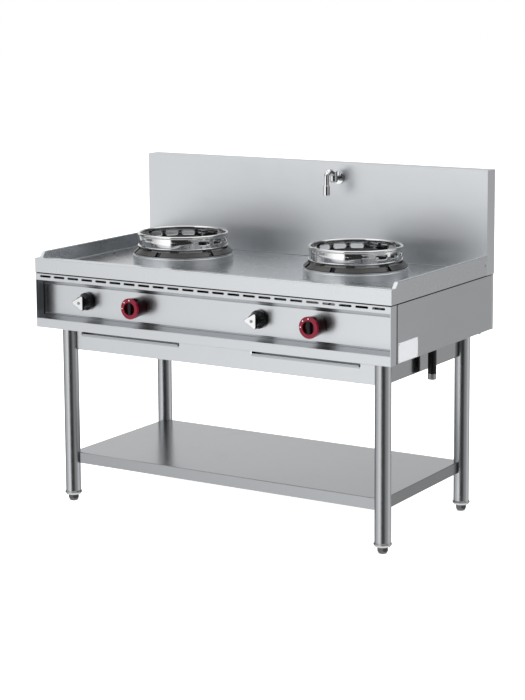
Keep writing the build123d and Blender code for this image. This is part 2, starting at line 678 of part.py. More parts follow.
# shelf: a folded tray turned upside down, its edges notched round the legs
shelf = block(-LEG_X, LEG_X, LEG_FRONT, LEG_REAR, SHELF_BOTTOM, SHELF_TOP)
shelf = fillet(shelf.edges().group_by(Axis.Z)[-1], BEND)
shelf_room = block(
    -LEG_X + SHEET,
    LEG_X - SHEET,
    LEG_FRONT + SHEET,
    LEG_REAR - SHEET,
    SHELF_BOTTOM + SHEET,
    SHELF_TOP - SHEET,
)
shelf -= fillet(shelf_room.edges().group_by(Axis.Z)[-1], BEND - SHEET)
shelf -= block(
    -LEG_X + SHELF_FOLD,
    LEG_X - SHELF_FOLD,
    LEG_FRONT + SHELF_FOLD,
    LEG_REAR - SHELF_FOLD,
    SHELF_BOTTOM - PAST,
    SHELF_BOTTOM + PAST,
)
shelf -= leg_columns(SHELF_BOTTOM - PAST, SHELF_TOP + PAST)
save("shelf", shelf)

# ---------------------------------------------------------------- drip trays
runner_wall = TRAY_HALF + SEAT_GAP + SHEET
runner_section = folded(
    [
        (runner_wall - SHEET - RUNNER_LEDGE, TRAY_OPENING_BOTTOM - SHEET),
        (runner_wall, TRAY_OPENING_BOTTOM - SHEET),
        (runner_wall, TRAY_OPENING_BOTTOM + RUNNER_HEIGHT),
    ],
    bend=TIGHT_BEND,
)
runner_end = LEG_REAR - SHEET - SEAT_GAP
runner = along(runner_section, LEG_FRONT + SHEET, runner_end)
strap = (runner_end - RUNNER_STRAP, runner_end)
runner_pair = runner + mirrored(runner)
runner_pair += block(-TRAY_HALF, TRAY_HALF, strap[0], strap[1], TRAY_OPENING_BOTTOM - SHEET, TRAY_OPENING_BOTTOM)
runners = []
for name, burner_x in BURNERS.items():
    tray_x = burner_x + TRAY_SHIFT
    lip_y = LEG_FRONT - SEAT_GAP - SHEET
    lip_section = folded(
        [
            (lip_y, TRAY_BOTTOM - TRAY_LIP),
            (lip_y, TRAY_BOTTOM + SHEET),
            (TRAY_FRONT + PAST, TRAY_BOTTOM + SHEET),
        ][::-1],
        bend=TIGHT_BEND,
    )
    tray_top = TRAY_BOTTOM + TRAY_WALL
    tray = block(tray_x - TRAY_HALF, tray_x + TRAY_HALF, TRAY_FRONT, TRAY_REAR, TRAY_BOTTOM, tray_top)
    tray -= block(
        tray_x - TRAY_HALF + SHEET,
        tray_x + TRAY_HALF - SHEET,
        TRAY_FRONT + SHEET,
        TRAY_REAR - SHEET,
        TRAY_BOTTOM + SHEET,
        tray_top + PAST,
    )
    tray += across(lip_section, tray_x - TRAY_HALF, tray_x + TRAY_HALF)
    save(f"drip_tray_{name}", tray)
    runners.append(Pos(tray_x, 0, 0) * runner_pair)
save("tray_runners", group(runners))

# ---------------------------------------------------------------- burners
ring_middle = [
    (RING_RADIUS - RING_BEAD, RING_TOP - RING_BEAD),
    (RING_WAIST + 1.5, RING_TOP - 2.2 * RING_BEAD),
    (RING_WAIST - 0.8, RING_BOTTOM + 0.55 * RING_HEIGHT),
    (RING_WAIST + 0.8, RING_BOTTOM + 0.25 * RING_HEIGHT),
    (RING_WAIST + 2.0, RING_BOTTOM + RING_FLANGE / 2.0),
]
support_rim = [
    (SUPPORT_RADIUS, SUPPORT_BOTTOM),
    (SUPPORT_RADIUS, SUPPORT_BOTTOM + SUPPORT_EDGE),
    (SUPPORT_TOP_RADIUS, SUPPORT_TOP),
    (SUPPORT_BORE, SUPPORT_TOP),
    (SUPPORT_BORE, SUPPORT_TOP - SUPPORT_WALL),
    (SUPPORT_TOP_RADIUS - SUPPORT_WALL, SUPPORT_TOP - SUPPORT_WALL),
    (SUPPORT_RADIUS - 1.6 * SUPPORT_WALL, SUPPORT_BOTTOM),
]
injectors = []
thermocouples = []
for name, burner_x in BURNERS.items():
    axis = Pos(burner_x, BURNER_Y, 0)
    collar_in = COLLAR_RADIUS - COLLAR_WALL
    groove = COLLAR_RADIUS - GROOVE_DEPTH
    collar = turned(
        [
            (collar_in, FLOOR_TOP),
            (COLLAR_RADIUS, FLOOR_TOP),
            (COLLAR_RADIUS, COLLAR_TOP - 1),
            (COLLAR_RADIUS - 1, COLLAR_TOP),
            (groove, COLLAR_TOP),
            (groove, GROOVE_TOP),
            (groove - COLLAR_WALL, GROOVE_TOP),
            (groove - COLLAR_WALL, COLLAR_TOP - COLLAR_WALL),
            (collar_in, COLLAR_TOP - COLLAR_WALL),
        ]
    )
    save(f"burner_collar_{name}", axis * collar)

    support = turned(support_rim)
    lug_reach = (SUPPORT_BORE + LAP, SUPPORT_TOP_RADIUS - LAP)
    lug = block(*lug_reach, -LUG_WIDTH / 2.0, LUG_WIDTH / 2.0, SUPPORT_TOP - LAP, LUG_TOP)
    lug = fillet(lug.edges().filter_by(Axis.X).group_by(Axis.Z)[-1], LUG_HEIGHT / 2.0)
    turn = 360.0 / LUG_COUNT
    support += [Rot(0, 0, (i + 0.5) * turn) * lug for i in range(LUG_COUNT)]
    notch = block(
        -NOTCH_WIDTH / 2.0,
        NOTCH_WIDTH / 2.0,
        -SUPPORT_RADIUS - PAST,
        -SUPPORT_TOP_RADIUS + LAP,
        SUPPORT_BOTTOM + NOTCH_FOOT,
        SUPPORT_TOP + LAP,
    )
    support -= [Rot(0, 0, angle + half_turn) * notch for angle in NOTCH_ANGLES for half_turn in (0, 180)]
    save(f"pan_support_{name}", axis * support)

    ring = revolve(Plane.XZ * trace(FilletPolyline(*ring_middle, radius=6), line_width=RING_WALL), axis=Axis.Z)
    ring += Pos(0, 0, RING_TOP - RING_BEAD) * Torus(RING_RADIUS - RING_BEAD, RING_BEAD)
    flange_in = RING_WAIST + RING_WALL / 4.0
    ring += turned(
        [
            (flange_in, RING_BOTTOM),
            (RING_RADIUS - RING_EDGE, RING_BOTTOM),
            (RING_RADIUS, RING_BOTTOM + RING_EDGE),
            (RING_RADIUS, RING_BOTTOM + RING_FLANGE - RING_EDGE),
            (RING_RADIUS - RING_EDGE, RING_BOTTOM + RING_FLANGE),
            (flange_in, RING_BOTTOM + RING_FLANGE),
        ]
    )
    vent = extrude(Plane.XZ * SlotOverall(VENT_LENGTH, VENT_HEIGHT), amount=-2 * RING_RADIUS)
    vent_height = RING_BOTTOM + (RING_HEIGHT - RING_FLANGE) / 2.0 + VENT_RISE
    vents = []
    for i in range(VENT_COUNT):
        angle = VENT_FIRST + i * VENT_STEP
        vents.append(Rot(0, 0, angle) * Pos(0, 0, vent_height) * vent)
        vents.append(Rot(0, 0, -angle) * Pos(0, 0, vent_height) * vent)
    ring -= vents
    save(f"wok_ring_{name}", axis * ring)

    bowl_section = FilletPolyline(
        (BOWL_RIM, FLOOR_UNDER - SHEET / 2.0),
        (WORKTOP_HOLE - TOP_SHEET, FLOOR_UNDER - SHEET / 2.0),
        (BOWL_FOOT, BOWL_BOTTOM + SHEET / 2.0),
        (BOWL_BORE, BOWL_BOTTOM + SHEET / 2.0),
        radius=BEND,
    )
    bowl = revolve(Plane.XZ * trace(bowl_section, line_width=SHEET), axis=Axis.Z)
    save(f"burner_bowl_{name}", axis * bowl)

    neck = HEAD_SEAT + CHAMBER_NECK
    skirt = HEAD_SEAT + CROWN_SKIRT
    inner_slope = CROWN_SLOPE + CROWN_WALL / 3.0
    head = turned(
        [
            (0, CHAMBER_BOTTOM),
            (CHAMBER_RADIUS, CHAMBER_BOTTOM),
            (CHAMBER_RADIUS, neck),
            (CROWN_RADIUS, skirt),
            (CROWN_RADIUS, CROWN_TOP - CROWN_SLOPE),
            (CROWN_RADIUS - CROWN_SLOPE, CROWN_TOP),
            (0, CROWN_TOP),
        ]
    )
    head -= turned(
        [
            (0, CHAMBER_BOTTOM + CROWN_WALL),
            (CHAMBER_RADIUS - CROWN_WALL, CHAMBER_BOTTOM + CROWN_WALL),
            (CHAMBER_RADIUS - CROWN_WALL, neck + CROWN_WALL),
            (CROWN_RADIUS - CROWN_WALL, skirt + CROWN_WALL),
            (CROWN_RADIUS - CROWN_WALL, CROWN_TOP - inner_slope),
            (CROWN_RADIUS - inner_slope, CROWN_TOP - CROWN_WALL),
            (0, CROWN_TOP - CROWN_WALL),
        ]
    )
    arm_start = CHAMBER_RADIUS - CROWN_WALL / 2.0
    arm = block(arm_start, ARM_REACH, -ARM_WIDTH / 2.0, ARM_WIDTH / 2.0, HEAD_SEAT, HEAD_SEAT + ARM_THICKNESS)
    head += [Rot(0, 0, 90 + i * 360.0 / ARM_COUNT) * arm for i in range(ARM_COUNT)]
    throat = VENTURI_RADIUS - VENTURI_WALL
    head += bar_y(0, CONTROL_HEIGHT, -VENTURI_JOINT, -arm_start, VENTURI_RADIUS)
    head -= bar_y(0, CONTROL_HEIGHT, -VENTURI_JOINT - PAST, -CHAMBER_RADIUS + 2 * CROWN_WALL, throat)
    port_low = skirt + PORT_FOOT
    port_reach = (CROWN_RADIUS - 2 * CROWN_WALL, CROWN_RADIUS + PAST)
    port = block(*port_reach, -PORT_WIDTH / 2.0, PORT_WIDTH / 2.0, port_low, port_low + PORT_HEIGHT)
    head -= [Rot(0, 0, i * 360.0 / PORT_COUNT) * port for i in range(PORT_COUNT)]
    save(f"burner_head_{name}", axis * head)

    # gas and air come from the valve side through a bent mixing tube
    mouth_x = burner_x + BURNER_KNOB_SHIFT
    mouth = VALVE_REAR + MOUTH_GAP
    flare_end = mouth + MOUTH_FLARE
    venturi = pipe(
        [
            (mouth_x, flare_end, CONTROL_HEIGHT),
            (mouth_x, flare_end + MOUTH_LEAD, CONTROL_HEIGHT),
            (burner_x, VENTURI_END - JOINT_LEAD, CONTROL_HEIGHT),
            (burner_x, VENTURI_END, CONTROL_HEIGHT),
        ],
        VENTURI_RADIUS,
        throat,
        VENTURI_BEND,
    )
    venturi += turned_y(
        [
            (VENTURI_MOUTH - VENTURI_WALL, mouth),
            (VENTURI_MOUTH, mouth),
            (VENTURI_RADIUS, flare_end),
            (throat, flare_end),
        ],
        mouth_x,
        CONTROL_HEIGHT,
    )
    save(f"venturi_{name}", venturi)
    seat_end = VALVE_REAR + INJECTOR_SEAT
    nozzle_end = VALVE_REAR + INJECTOR_REACH
    nozzle = [
        (INJECTOR_BORE, seat_end),
        (INJECTOR_BASE, seat_end),
        (INJECTOR_TIP, nozzle_end),
        (INJECTOR_BORE, nozzle_end),
    ]
    injector = hex_y(mouth_x, CONTROL_HEIGHT, VALVE_REAR, seat_end, INJECTOR_CORNER)
    injector -= bar_y(mouth_x, CONTROL_HEIGHT, VALVE_REAR - LAP, seat_end + LAP, INJECTOR_BORE)
    injectors.append(injector + turned_y(nozzle, mouth_x, CONTROL_HEIGHT))

    sensor_place = (BOWL_BORE + SENSOR_STAND) * Vector(1, 0).rotate(Axis.Z, SENSOR_ANGLE)
    sensor = upright(0, 0, HEAD_SEAT, HEAD_SEAT + SENSOR_BASE, SENSOR_BASE)
    sensor += upright(0, 0, HEAD_SEAT + SENSOR_BASE - LAP, CROWN_TOP - SENSOR_DROP, SENSOR_RADIUS)
    thermocouples.append(axis * Pos(sensor_place) * sensor)

    pilot_valve_x = burner_x + PILOT_KNOB_SHIFT
    pilot_place = (burner_x - PILOT_STAND, BURNER_Y - PILOT_STAND)
    tip_top = CROWN_TOP - PILOT_TIP_DROP
    tip_low = tip_top - PILOT_TIP - PILOT_TIP_CONE
    pilot = pipe(
        [
            (pilot_valve_x, VALVE_REAR, CONTROL_HEIGHT),
            (pilot_valve_x, VALVE_REAR + PILOT_RUN, CONTROL_HEIGHT),
            (*pilot_place, CONTROL_HEIGHT),
            (*pilot_place, tip_low + LAP),
        ],
        PILOT_TUBE_RADIUS,
        PILOT_TUBE_BORE,
        PILOT_TUBE_BEND,
    )
    pilot += turned(
        [
            (PILOT_TUBE_BORE, tip_low),
            (PILOT_TIP_RADIUS, tip_low),
            (PILOT_TIP_RADIUS, tip_top - PILOT_TIP_CONE),
            (PILOT_TUBE_RADIUS, tip_top),
            (PILOT_TUBE_BORE, tip_top),
        ],
        *pilot_place,
    )
    save(f"pilot_burner_{name}", pilot)
save("injectors", group(injectors))
save("thermocouples", group(thermocouples))

# ---------------------------------------------------------------- gas supply and controls
manifold_bore = GAS_PIPE_RADIUS - GAS_PIPE_WALL
manifold = bar_x(MANIFOLD_Y, MANIFOLD_HEIGHT, MANIFOLD_START, MANIFOLD_END, GAS_PIPE_RADIUS)
bore_start = MANIFOLD_START + GAS_PIPE_CAP
manifold -= bar_x(MANIFOLD_Y, MANIFOLD_HEIGHT, bore_start, MANIFOLD_END + PAST, manifold_bore)
save("gas_manifold", manifold)
inlet = pipe(
    [
        (MANIFOLD_END, MANIFOLD_Y, MANIFOLD_HEIGHT),
        (INLET_TURN, MANIFOLD_Y, MANIFOLD_HEIGHT),
        (INLET_TURN, INLET_Y, MANIFOLD_HEIGHT),
        (INLET_X, INLET_Y, MANIFOLD_HEIGHT),
        (INLET_X, INLET_Y, INLET_BOTTOM),
    ],
    GAS_PIPE_RADIUS,
    manifold_bore,
    INLET_BEND,
)
thread_top = INLET_BOTTOM + INLET_THREAD
thread_skin = upright(INLET_X, INLET_Y, INLET_BOTTOM - PAST, thread_top, GAS_PIPE_RADIUS + LAP)
thread_skin -= upright(INLET_X, INLET_Y, INLET_BOTTOM - PAST, thread_top, INLET_THREAD_RADIUS)
save("gas_inlet_pipe", inlet - thread_skin)


def valve(x, radius):
    """Gas valve behind the panel, its saddle resting on the manifold."""
    body = bar_y(x, CONTROL_HEIGHT, PANEL_BACK, VALVE_REAR, radius)
    body += upright(x, MANIFOLD_Y, MANIFOLD_HEIGHT + PAST, CONTROL_HEIGHT - radius + PAST, SADDLE_RADIUS)
    body -= bar_x(MANIFOLD_Y, MANIFOLD_HEIGHT, x - 2 * radius, x + 2 * radius, GAS_PIPE_RADIUS + SADDLE_FIT)
    return body - bar_y(x, CONTROL_HEIGHT, PANEL_BACK - LAP, PANEL_BACK + SPINDLE_DEPTH, BORE)


def spindle(x, front):
    """Valve spindle with a flat along the part that the knob sits on."""
    rod = bar_y(x, CONTROL_HEIGHT, front, PANEL_BACK + SPINDLE_DEPTH - SEAT_GAP, SPINDLE_RADIUS)
    level = CONTROL_HEIGHT + SPINDLE_RADIUS - SPINDLE_FLAT
    flat_end = RECESS_DEPTH - SPINDLE_LEAD
    return rod - block(x - PAST, x + PAST, front - PAST, flat_end, level, level + PAST)


# red knob: a hollow cap whose sunken face carries the grip bar
cap_floor = GRIP_FLOOR + KNOB_WALL
burner_knob = turned_y(
    [
        (0, GRIP_FLOOR),
        (BURNER_KNOB_BORE, GRIP_FLOOR),
        (BURNER_KNOB_BORE, -KNOB_PROUD),
        (BURNER_KNOB_RADIUS - KNOB_ROUND, -KNOB_PROUD),
        (BURNER_KNOB_RADIUS, -KNOB_PROUD + KNOB_ROUND),
        (BURNER_KNOB_REAR, KNOB_REAR),
        (BURNER_KNOB_REAR - KNOB_WALL, KNOB_REAR),
        (BURNER_KNOB_REAR - KNOB_WALL, cap_floor),
        (KNOB_HUB_RADIUS, cap_floor),
        (KNOB_HUB_RADIUS, KNOB_REAR),
        (BORE, KNOB_REAR),
        (BORE, KNOB_HUB_START),
        (0, KNOB_HUB_START),
    ],
    0,
    CONTROL_HEIGHT,
)
grip_half = BURNER_KNOB_BORE + LAP
grip = block(
    -GRIP_WIDTH / 2.0,
    GRIP_WIDTH / 2.0,
    -KNOB_PROUD + GRIP_SINK,
    GRIP_FLOOR + LAP,
    CONTROL_HEIGHT - grip_half,
    CONTROL_HEIGHT + grip_half,
)
burner_knob += grip

# black knob: skirt, waist and a thick three-cornered face with one corner to the left
pilot_rear = KNOB_REAR - PILOT_TRAVEL
triangle = RegularPolygon(PILOT_CORNER + PILOT_ROUND, 3, rotation=180)
triangle = fillet(triangle.vertices(), PILOT_ROUND)
pilot_knob = Pos(0, PILOT_FACE, CONTROL_HEIGHT) * extrude(Plane.XZ * triangle, amount=PILOT_FACE)
pilot_knob += turned_y(
    [
        (0, PILOT_FACE - LAP),
        (PILOT_BODY_RADIUS, PILOT_FACE - LAP),
        (PILOT_BODY_RADIUS, pilot_rear - 2.0 * PILOT_SKIRT),
        (PILOT_SKIRT_RADIUS - KNOB_ROUND, pilot_rear - PILOT_SKIRT),
        (PILOT_SKIRT_RADIUS, pilot_rear - PILOT_SKIRT + KNOB_ROUND),
        (PILOT_SKIRT_RADIUS, pilot_rear),
        (0, pilot_rear),
    ],
    0,
    CONTROL_HEIGHT,
)
pilot_knob -= bar_y(0, CONTROL_HEIGHT, PILOT_BORE_START, pilot_rear + LAP, BORE)

for name, burner_x in BURNERS.items():
    red_x = burner_x + BURNER_KNOB_SHIFT
    black_x = burner_x + PILOT_KNOB_SHIFT
    save(f"burner_valve_{name}", valve(red_x, BURNER_VALVE_RADIUS))
    save(f"pilot_valve_{name}", valve(black_x, PILOT_VALVE_RADIUS))
    save(f"burner_spindle_{name}", spindle(red_x, KNOB_HUB_START + SEAT_GAP))
    save(f"pilot_spindle_{name}", spindle(black_x, PILOT_BORE_START + PILOT_TRAVEL + LAP))
    save(f"burner_knob_{name}", Pos(red_x, 0, 0) * burner_knob)
    save(f"pilot_knob_{name}", Pos(black_x, 0, 0) * pilot_knob)

# ---------------------------------------------------------------- wall tap
tap = bar_y(TAP_X, TAP_HEIGHT, SPLASH_FACE - TAP_FLANGE, SPLASH_FACE, TAP_FLANGE_RADIUS)
tap += bar_y(TAP_X, TAP_HEIGHT, SWIVEL_Y, SPLASH_FACE - LAP, TAP_BARREL_RADIUS)
turret = upright(TAP_X, SWIVEL_Y, TAP_HEIGHT - TAP_TURRET_FOOT, TAP_TURRET_TOP, TAP_TURRET_RADIUS)
tap += fillet(turret.edges().group_by(Axis.Z)[0], TAP_TURRET_ROUND)
tap += upright(TAP_X, SWIVEL_Y, TAP_TURRET_TOP - LAP, TAP_TURRET_TOP + TAP_PIN, TAP_PIN_RADIUS)
tap += bar_y(TAP_X, TAP_HEIGHT, SPLASH_FACE - LAP, SPLASH_FACE + TAP_SHANK, TAP_SHANK_RADIUS)
save("faucet_body", tap)

hub_low = TAP_TURRET_TOP + SEAT_GAP
hub_top = TAP_TURRET_TOP + SPOUT_HUB
aerator_top = AERATOR_BOTTOM + AERATOR_LENGTH
tube_start = SWIVEL_Y - SPOUT_START
tube_height = (hub_low + hub_top) / 2.0
arch_height = tube_height + SPOUT_LIFT
spout = pipe(
    [
        (TAP_X, tube_start, tube_height),
        (TAP_X, tube_start - SPOUT_LIFT_RUN, arch_height),
        (TAP_X, OUTLET_Y, arch_height),
        (TAP_X, OUTLET_Y, aerator_top),
    ],
    SPOUT_RADIUS,
    SPOUT_RADIUS - SPOUT_WALL,
    SPOUT_BEND,
)
hub = upright(TAP_X, SWIVEL_Y, hub_low, hub_top, SPOUT_HUB_RADIUS)
spout += fillet(hub.edges().group_by(Axis.Z)[-1], SPOUT_HUB_ROUND)
pin_room = (hub_low - LAP, TAP_TURRET_TOP + TAP_PIN + SEAT_GAP, TAP_PIN_RADIUS + SPINDLE_FIT)
spout -= upright(TAP_X, SWIVEL_Y, *pin_room)
save("faucet_spout", spout)

aerator = upright(TAP_X, OUTLET_Y, AERATOR_BOTTOM, aerator_top, AERATOR_RADIUS)
aerator = fillet(aerator.edges().group_by(Axis.Z)[-1], AERATOR_WALL)
nozzle_room = (AERATOR_BOTTOM - LAP, aerator_top - AERATOR_CAP, AERATOR_RADIUS - AERATOR_WALL)
aerator -= upright(TAP_X, OUTLET_Y, *nozzle_room)
save("faucet_aerator", aerator)

shank_end = SPLASH_FACE + TAP_SHANK
nut = hex_y(TAP_X, TAP_HEIGHT, SPLASH_FACE + SHEET, shank_end + 2 * SHEET, TAP_NUT_CORNER)
nut -= bar_y(TAP_X, TAP_HEIGHT, SPLASH_FACE, shank_end, TAP_SHANK_RADIUS + SPINDLE_FIT)
water = pipe(
    [
        (TAP_X, shank_end + LAP, TAP_HEIGHT),
        (TAP_X, WATER_PIPE_Y, TAP_HEIGHT),
        (TAP_X, WATER_PIPE_Y, WATER_INLET),
    ],
    WATER_PIPE_RADIUS,
    0,
    WATER_PIPE_BEND,
)
water += nut
water += upright(TAP_X, WATER_PIPE_Y, WATER_INLET, WATER_INLET + WATER_INLET_LENGTH, WATER_INLET_RADIUS)
save("water_pipe", water)

# ---------------------------------------------------------------- screws
dome = turned([(0, 0), (SCREW_RADIUS, 0), (SCREW_RADIUS * 0.6, SCREW_DOME * 0.8), (0, SCREW_DOME)])
screw_place = Pos(0, SPLASH_FACE - SCREW_BACK, WORK_HEIGHT - SCREW_DROP)
screws = [screw_place * Pos(side * HALF, 0, 0) * Rot(0, side * 90, 0) * dome for side in SIDES.values()]
save("screws", group(screws))
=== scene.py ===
"""Looks of a two-burner wok range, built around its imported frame."""
import logging
import math
from collections.abc import Callable
from dataclasses import dataclass
from enum import Enum

import bmesh
import bpy
from mathutils import Matrix, Vector


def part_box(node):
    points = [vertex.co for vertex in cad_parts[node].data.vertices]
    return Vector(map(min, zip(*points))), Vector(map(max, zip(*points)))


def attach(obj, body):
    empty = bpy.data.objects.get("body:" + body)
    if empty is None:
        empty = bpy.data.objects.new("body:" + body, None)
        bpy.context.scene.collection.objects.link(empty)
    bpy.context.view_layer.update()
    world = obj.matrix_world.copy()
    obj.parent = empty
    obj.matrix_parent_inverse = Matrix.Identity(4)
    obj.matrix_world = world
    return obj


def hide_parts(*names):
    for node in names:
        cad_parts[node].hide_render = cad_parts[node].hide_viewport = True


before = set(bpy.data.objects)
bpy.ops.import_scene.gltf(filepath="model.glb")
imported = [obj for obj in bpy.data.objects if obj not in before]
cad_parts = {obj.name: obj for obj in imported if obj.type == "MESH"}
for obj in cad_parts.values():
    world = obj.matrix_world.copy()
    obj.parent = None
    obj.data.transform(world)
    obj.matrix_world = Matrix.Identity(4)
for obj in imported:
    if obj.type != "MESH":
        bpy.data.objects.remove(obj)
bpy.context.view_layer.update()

log = logging.getLogger("wok_range")
logging.basicConfig(level=logging.INFO, format="%(name)s: %(message)s")

Colour = tuple[float, float, float, float]
Outline = list[tuple[float, float]]
Place = Callable[[float, float, float], Vector]

MM = 0.001
SHIFT_Y = -346.0 * MM  # place of the front plane in the frame
MERGE_REACH = 1e-6  # points nearer to each other than this become one
FADE = 0.5 * MM  # width of a painted mark's edge
SHARP_ANGLE = math.radians(35.0)  # edges sharper than this stay crisp


def at(x: float, y: float, z: float) -> Vector:
    """Turn millimetres from the front plane, floor and middle into the frame's metres.

    Args:
        x: distance to the right of the middle.
        y: distance behind the front plane.
        z: height above the floor.

    Returns:
        The same place in the frame.
    """
    return Vector((x * MM, y * MM + SHIFT_Y, z * MM))


BURNER_X = {"left": -325.0 * MM, "right": 325.0 * MM}
BURNER_Y = at(0, 375, 0).y
LEGS = ("front_left", "front_right", "rear_left", "rear_right")


# ------------------------------------------------------------------ node building
class Field:
    """A number that varies over a surface; arithmetic on it adds Math nodes."""

    def __init__(self, maker: "NodeWriter", socket: bpy.types.NodeSocket) -> None:
        """Wrap a socket.

        Args:
            maker: the writer of the tree that the socket is in.
            socket: the output that carries the number.
        """
        self.maker = maker
        self.socket = socket

    def _math(self, operation: str, *terms: "float | Field") -> "Field":
        """Add one Math node.

        Args:
            operation: the node's operation.
            *terms: numbers or fields, in socket order.

        Returns:
            The node's result.
        """
        made = self.maker.node("ShaderNodeMath", {"operation": operation}, dict(enumerate(terms)))
        return Field(self.maker, made.outputs[0])

    def __add__(self, other: "float | Field") -> "Field":
        """Add."""
        return self._math("ADD", self, other)

    __radd__ = __add__

    def __sub__(self, other: "float | Field") -> "Field":
        """Subtract."""
        return self._math("SUBTRACT", self, other)

    def __rsub__(self, other: float) -> "Field":
        """Subtract from a number."""
        return self._math("SUBTRACT", other, self)

    def __mul__(self, other: "float | Field") -> "Field":
        """Multiply."""
        return self._math("MULTIPLY", self, other)

    __rmul__ = __mul__

    def __abs__(self) -> "Field":
        """Distance from zero."""
        return self._math("ABSOLUTE", self)

    def above(self, level: "float | Field") -> "Field":
        """1 where the field is over the level, else 0."""
        return self._math("GREATER_THAN", self, level)

    def most(self, other: "float | Field") -> "Field":
        """The larger of two."""
        return self._math("MAXIMUM", self, other)

    def root(self) -> "Field":
        """Square root."""
        return self._math("SQRT", self)

    def angle(self, ahead: "Field") -> "Field":
        """Angle of a direction from straight ahead, where this field is its part to the side."""
        return self._math("ARCTAN2", self, ahead)

    def ramp(self, low: float, high: float) -> "Field":
        """Go smoothly from 0 at low to 1 at high.

        Args:
            low: value that gives 0.
            high: value that gives 1.

        Returns:
            The eased field.
        """
        values = {0: self.socket, 1: low, 2: high, 3: 0.0, 4: 1.0}
        settings = {"interpolation_type": "SMOOTHSTEP", "clamp": True}
        return Field(self.maker, self.maker.node("ShaderNodeMapRange", settings, values).outputs[0])


def length(first: Field, second: Field) -> Field:
    """Length of a line from its parts along two axes."""
    return (first * first + second * second).root()


class NodeWriter:
    """Adds nodes to a tree."""

    def __init__(self, tree: bpy.types.NodeTree) -> None:
        """Take the tree.

        Args:
            tree: the tree that the nodes go into.
        """
        self.tree = tree

    def node(self, kind: str, settings: dict | None = None, values: dict | None = None) -> bpy.types.Node:
        """Add a node, set it up, then fill or link its sockets.

        Args:
            kind: the node's type.
            settings: attributes that are set first; "stops" fills a colour ramp.
            values: what goes into its sockets, as fill takes it.

        Returns:
            The new node.
        """
        made = self.tree.nodes.new(kind)
        for key, value in (settings or {}).items():
            if key == "stops":
                ramp = made.color_ramp
                while len(ramp.elements) < len(value):
                    ramp.elements.new(0.5)
                for element, (place, colour) in zip(ramp.elements, value):
                    element.position = place
                    element.color = colour
            else:
                setattr(made, key, value)
        self.fill(made, values or {})
        return made

    def fill(self, node: bpy.types.Node, values: dict) -> None:
        """Fill or link a node's sockets.

        Args:
            node: the node.
            values: numbers, colours, sockets or fields by socket name or index; a list links several.
        """
        for key, value in values.items():
            for one in value if isinstance(value, list) else [value]:
                source = one.socket if isinstance(one, Field) else one
                if isinstance(source, bpy.types.NodeSocket):
                    self.tree.links.new(source, node.inputs[key])
                else:
                    node.inputs[key].default_value = source

    def split(self, vector: bpy.types.NodeSocket) -> list[Field]:
        """The three numbers of a vector."""
        parts = self.node("ShaderNodeSeparateXYZ", values={0: vector}).outputs
        return [Field(self, parts[i]) for i in range(3)]

    def mixed(self, amount: float | Field, first: object, second: object) -> bpy.types.NodeSocket:
        """Blend two colours.

        Args:
            amount: 0 gives the first, 1 the second.
            first: a colour or a link.
            second: a colour or a link.

        Returns:
            The blended colour.
        """
        values = {0: amount, 6: first, 7: second}
        return self.node("ShaderNodeMix", {"data_type": "RGBA"}, values).outputs[2]


class ShaderMaker(NodeWriter):
    """Builds one material's nodes."""

    def __init__(self, name: str) -> None:
        """Start an empty material.

        Args:
            name: the material's name.
        """
        self.material = bpy.data.materials.new(name)
        self.material.use_nodes = True
        super().__init__(self.material.node_tree)
        self.tree.nodes.clear()
        self.shader = self.node("ShaderNodeBsdfPrincipled")
        self.node("ShaderNodeOutputMaterial", values={"Surface": self.shader.outputs[0]})
        self.coordinates = self.node("ShaderNodeTexCoord").outputs["Object"]

    def noise(
        self,
        scale: float | tuple[float, float, float],
        detail: float = 3.0,
        roughness: float = 0.5,
        distortion: float = 0.0,
    ) -> Field:
        """Soft random field.

        Args:
            scale: features per metre, or those along each axis.
            detail: octaves.
            roughness: strength of the finer octaves.
            distortion: how much it is warped.

        Returns:
            A field around 0.5.
        """
        spread = scale if isinstance(scale, tuple) else (scale, scale, scale)
        values = {"Vector": self.coordinates, "Scale": spread}
        stretched = self.node("ShaderNodeMapping", {"vector_type": "POINT"}, values).outputs[0]
        values = {"Vector": stretched, "Scale": 1.0, "Detail": detail, "Roughness": roughness}
        values["Distortion"] = distortion
        return Field(self, self.node("ShaderNodeTexNoise", {"noise_dimensions": "3D"}, values).outputs[0])

    def axis(self, index: int) -> Field:
        """One of the three object coordinates, in metres."""
        return self.split(self.coordinates)[index]

    def bump(self, height: Field, distance: float, strength: float) -> bpy.types.NodeSocket:
        """Turn a height into a normal.

        Args:
            height: the height field, 0 to 1.
            distance: metres that 1 stands for.
            strength: how much of it is used.

        Returns:
            The bent normal.
        """
        values = {"Height": height, "Distance": distance, "Strength": strength}
        return self.node("ShaderNodeBump", values=values).outputs[0]


# ------------------------------------------------------------------ finishes
def grey(level: float, warmth: float = 0.0) -> Colour:
    """A grey that leans to red when warmth is over 0 and to blue when under."""
    return (level * (1 + warmth), level, level * (1 - warmth), 1.0)


def dimmed(colour: Colour, share: float) -> Colour:
    """A colour at a share of its brightness."""
    return tuple(part * share for part in colour[:3]) + (1.0,)


class Grain(Enum):
    """Direction in which a sheet was brushed."""

    ACROSS = 0
    DEEP = 1
    UPRIGHT = 2


@dataclass(frozen=True)
class Finish:
    """What every finish has: a name, and a material that is made once."""

    name: str

    def material(self) -> bpy.types.Material:
        """Find the finish's material, or make it.

        Returns:
            The material.
        """
        name = "finish_" + self.name
        known = bpy.data.materials.get(name)
        if known:
            return known
        maker = ShaderMaker(name)
        maker.fill(maker.shader, self.look(maker))
        return maker.material

    def look(self, maker: ShaderMaker) -> dict:
        """Work out what the shader gets.

        Args:
            maker: the empty material.

        Returns:
            Numbers, colours, sockets or fields by the shader's socket names.
        """
        raise NotImplementedError


@dataclass(frozen=True)
class Joint:
    """A line of painted shade in the gap where sheets meet: the axis across it, its place there, and half
    its width in mm.
    """

    axis: int
    place: float
    half: float


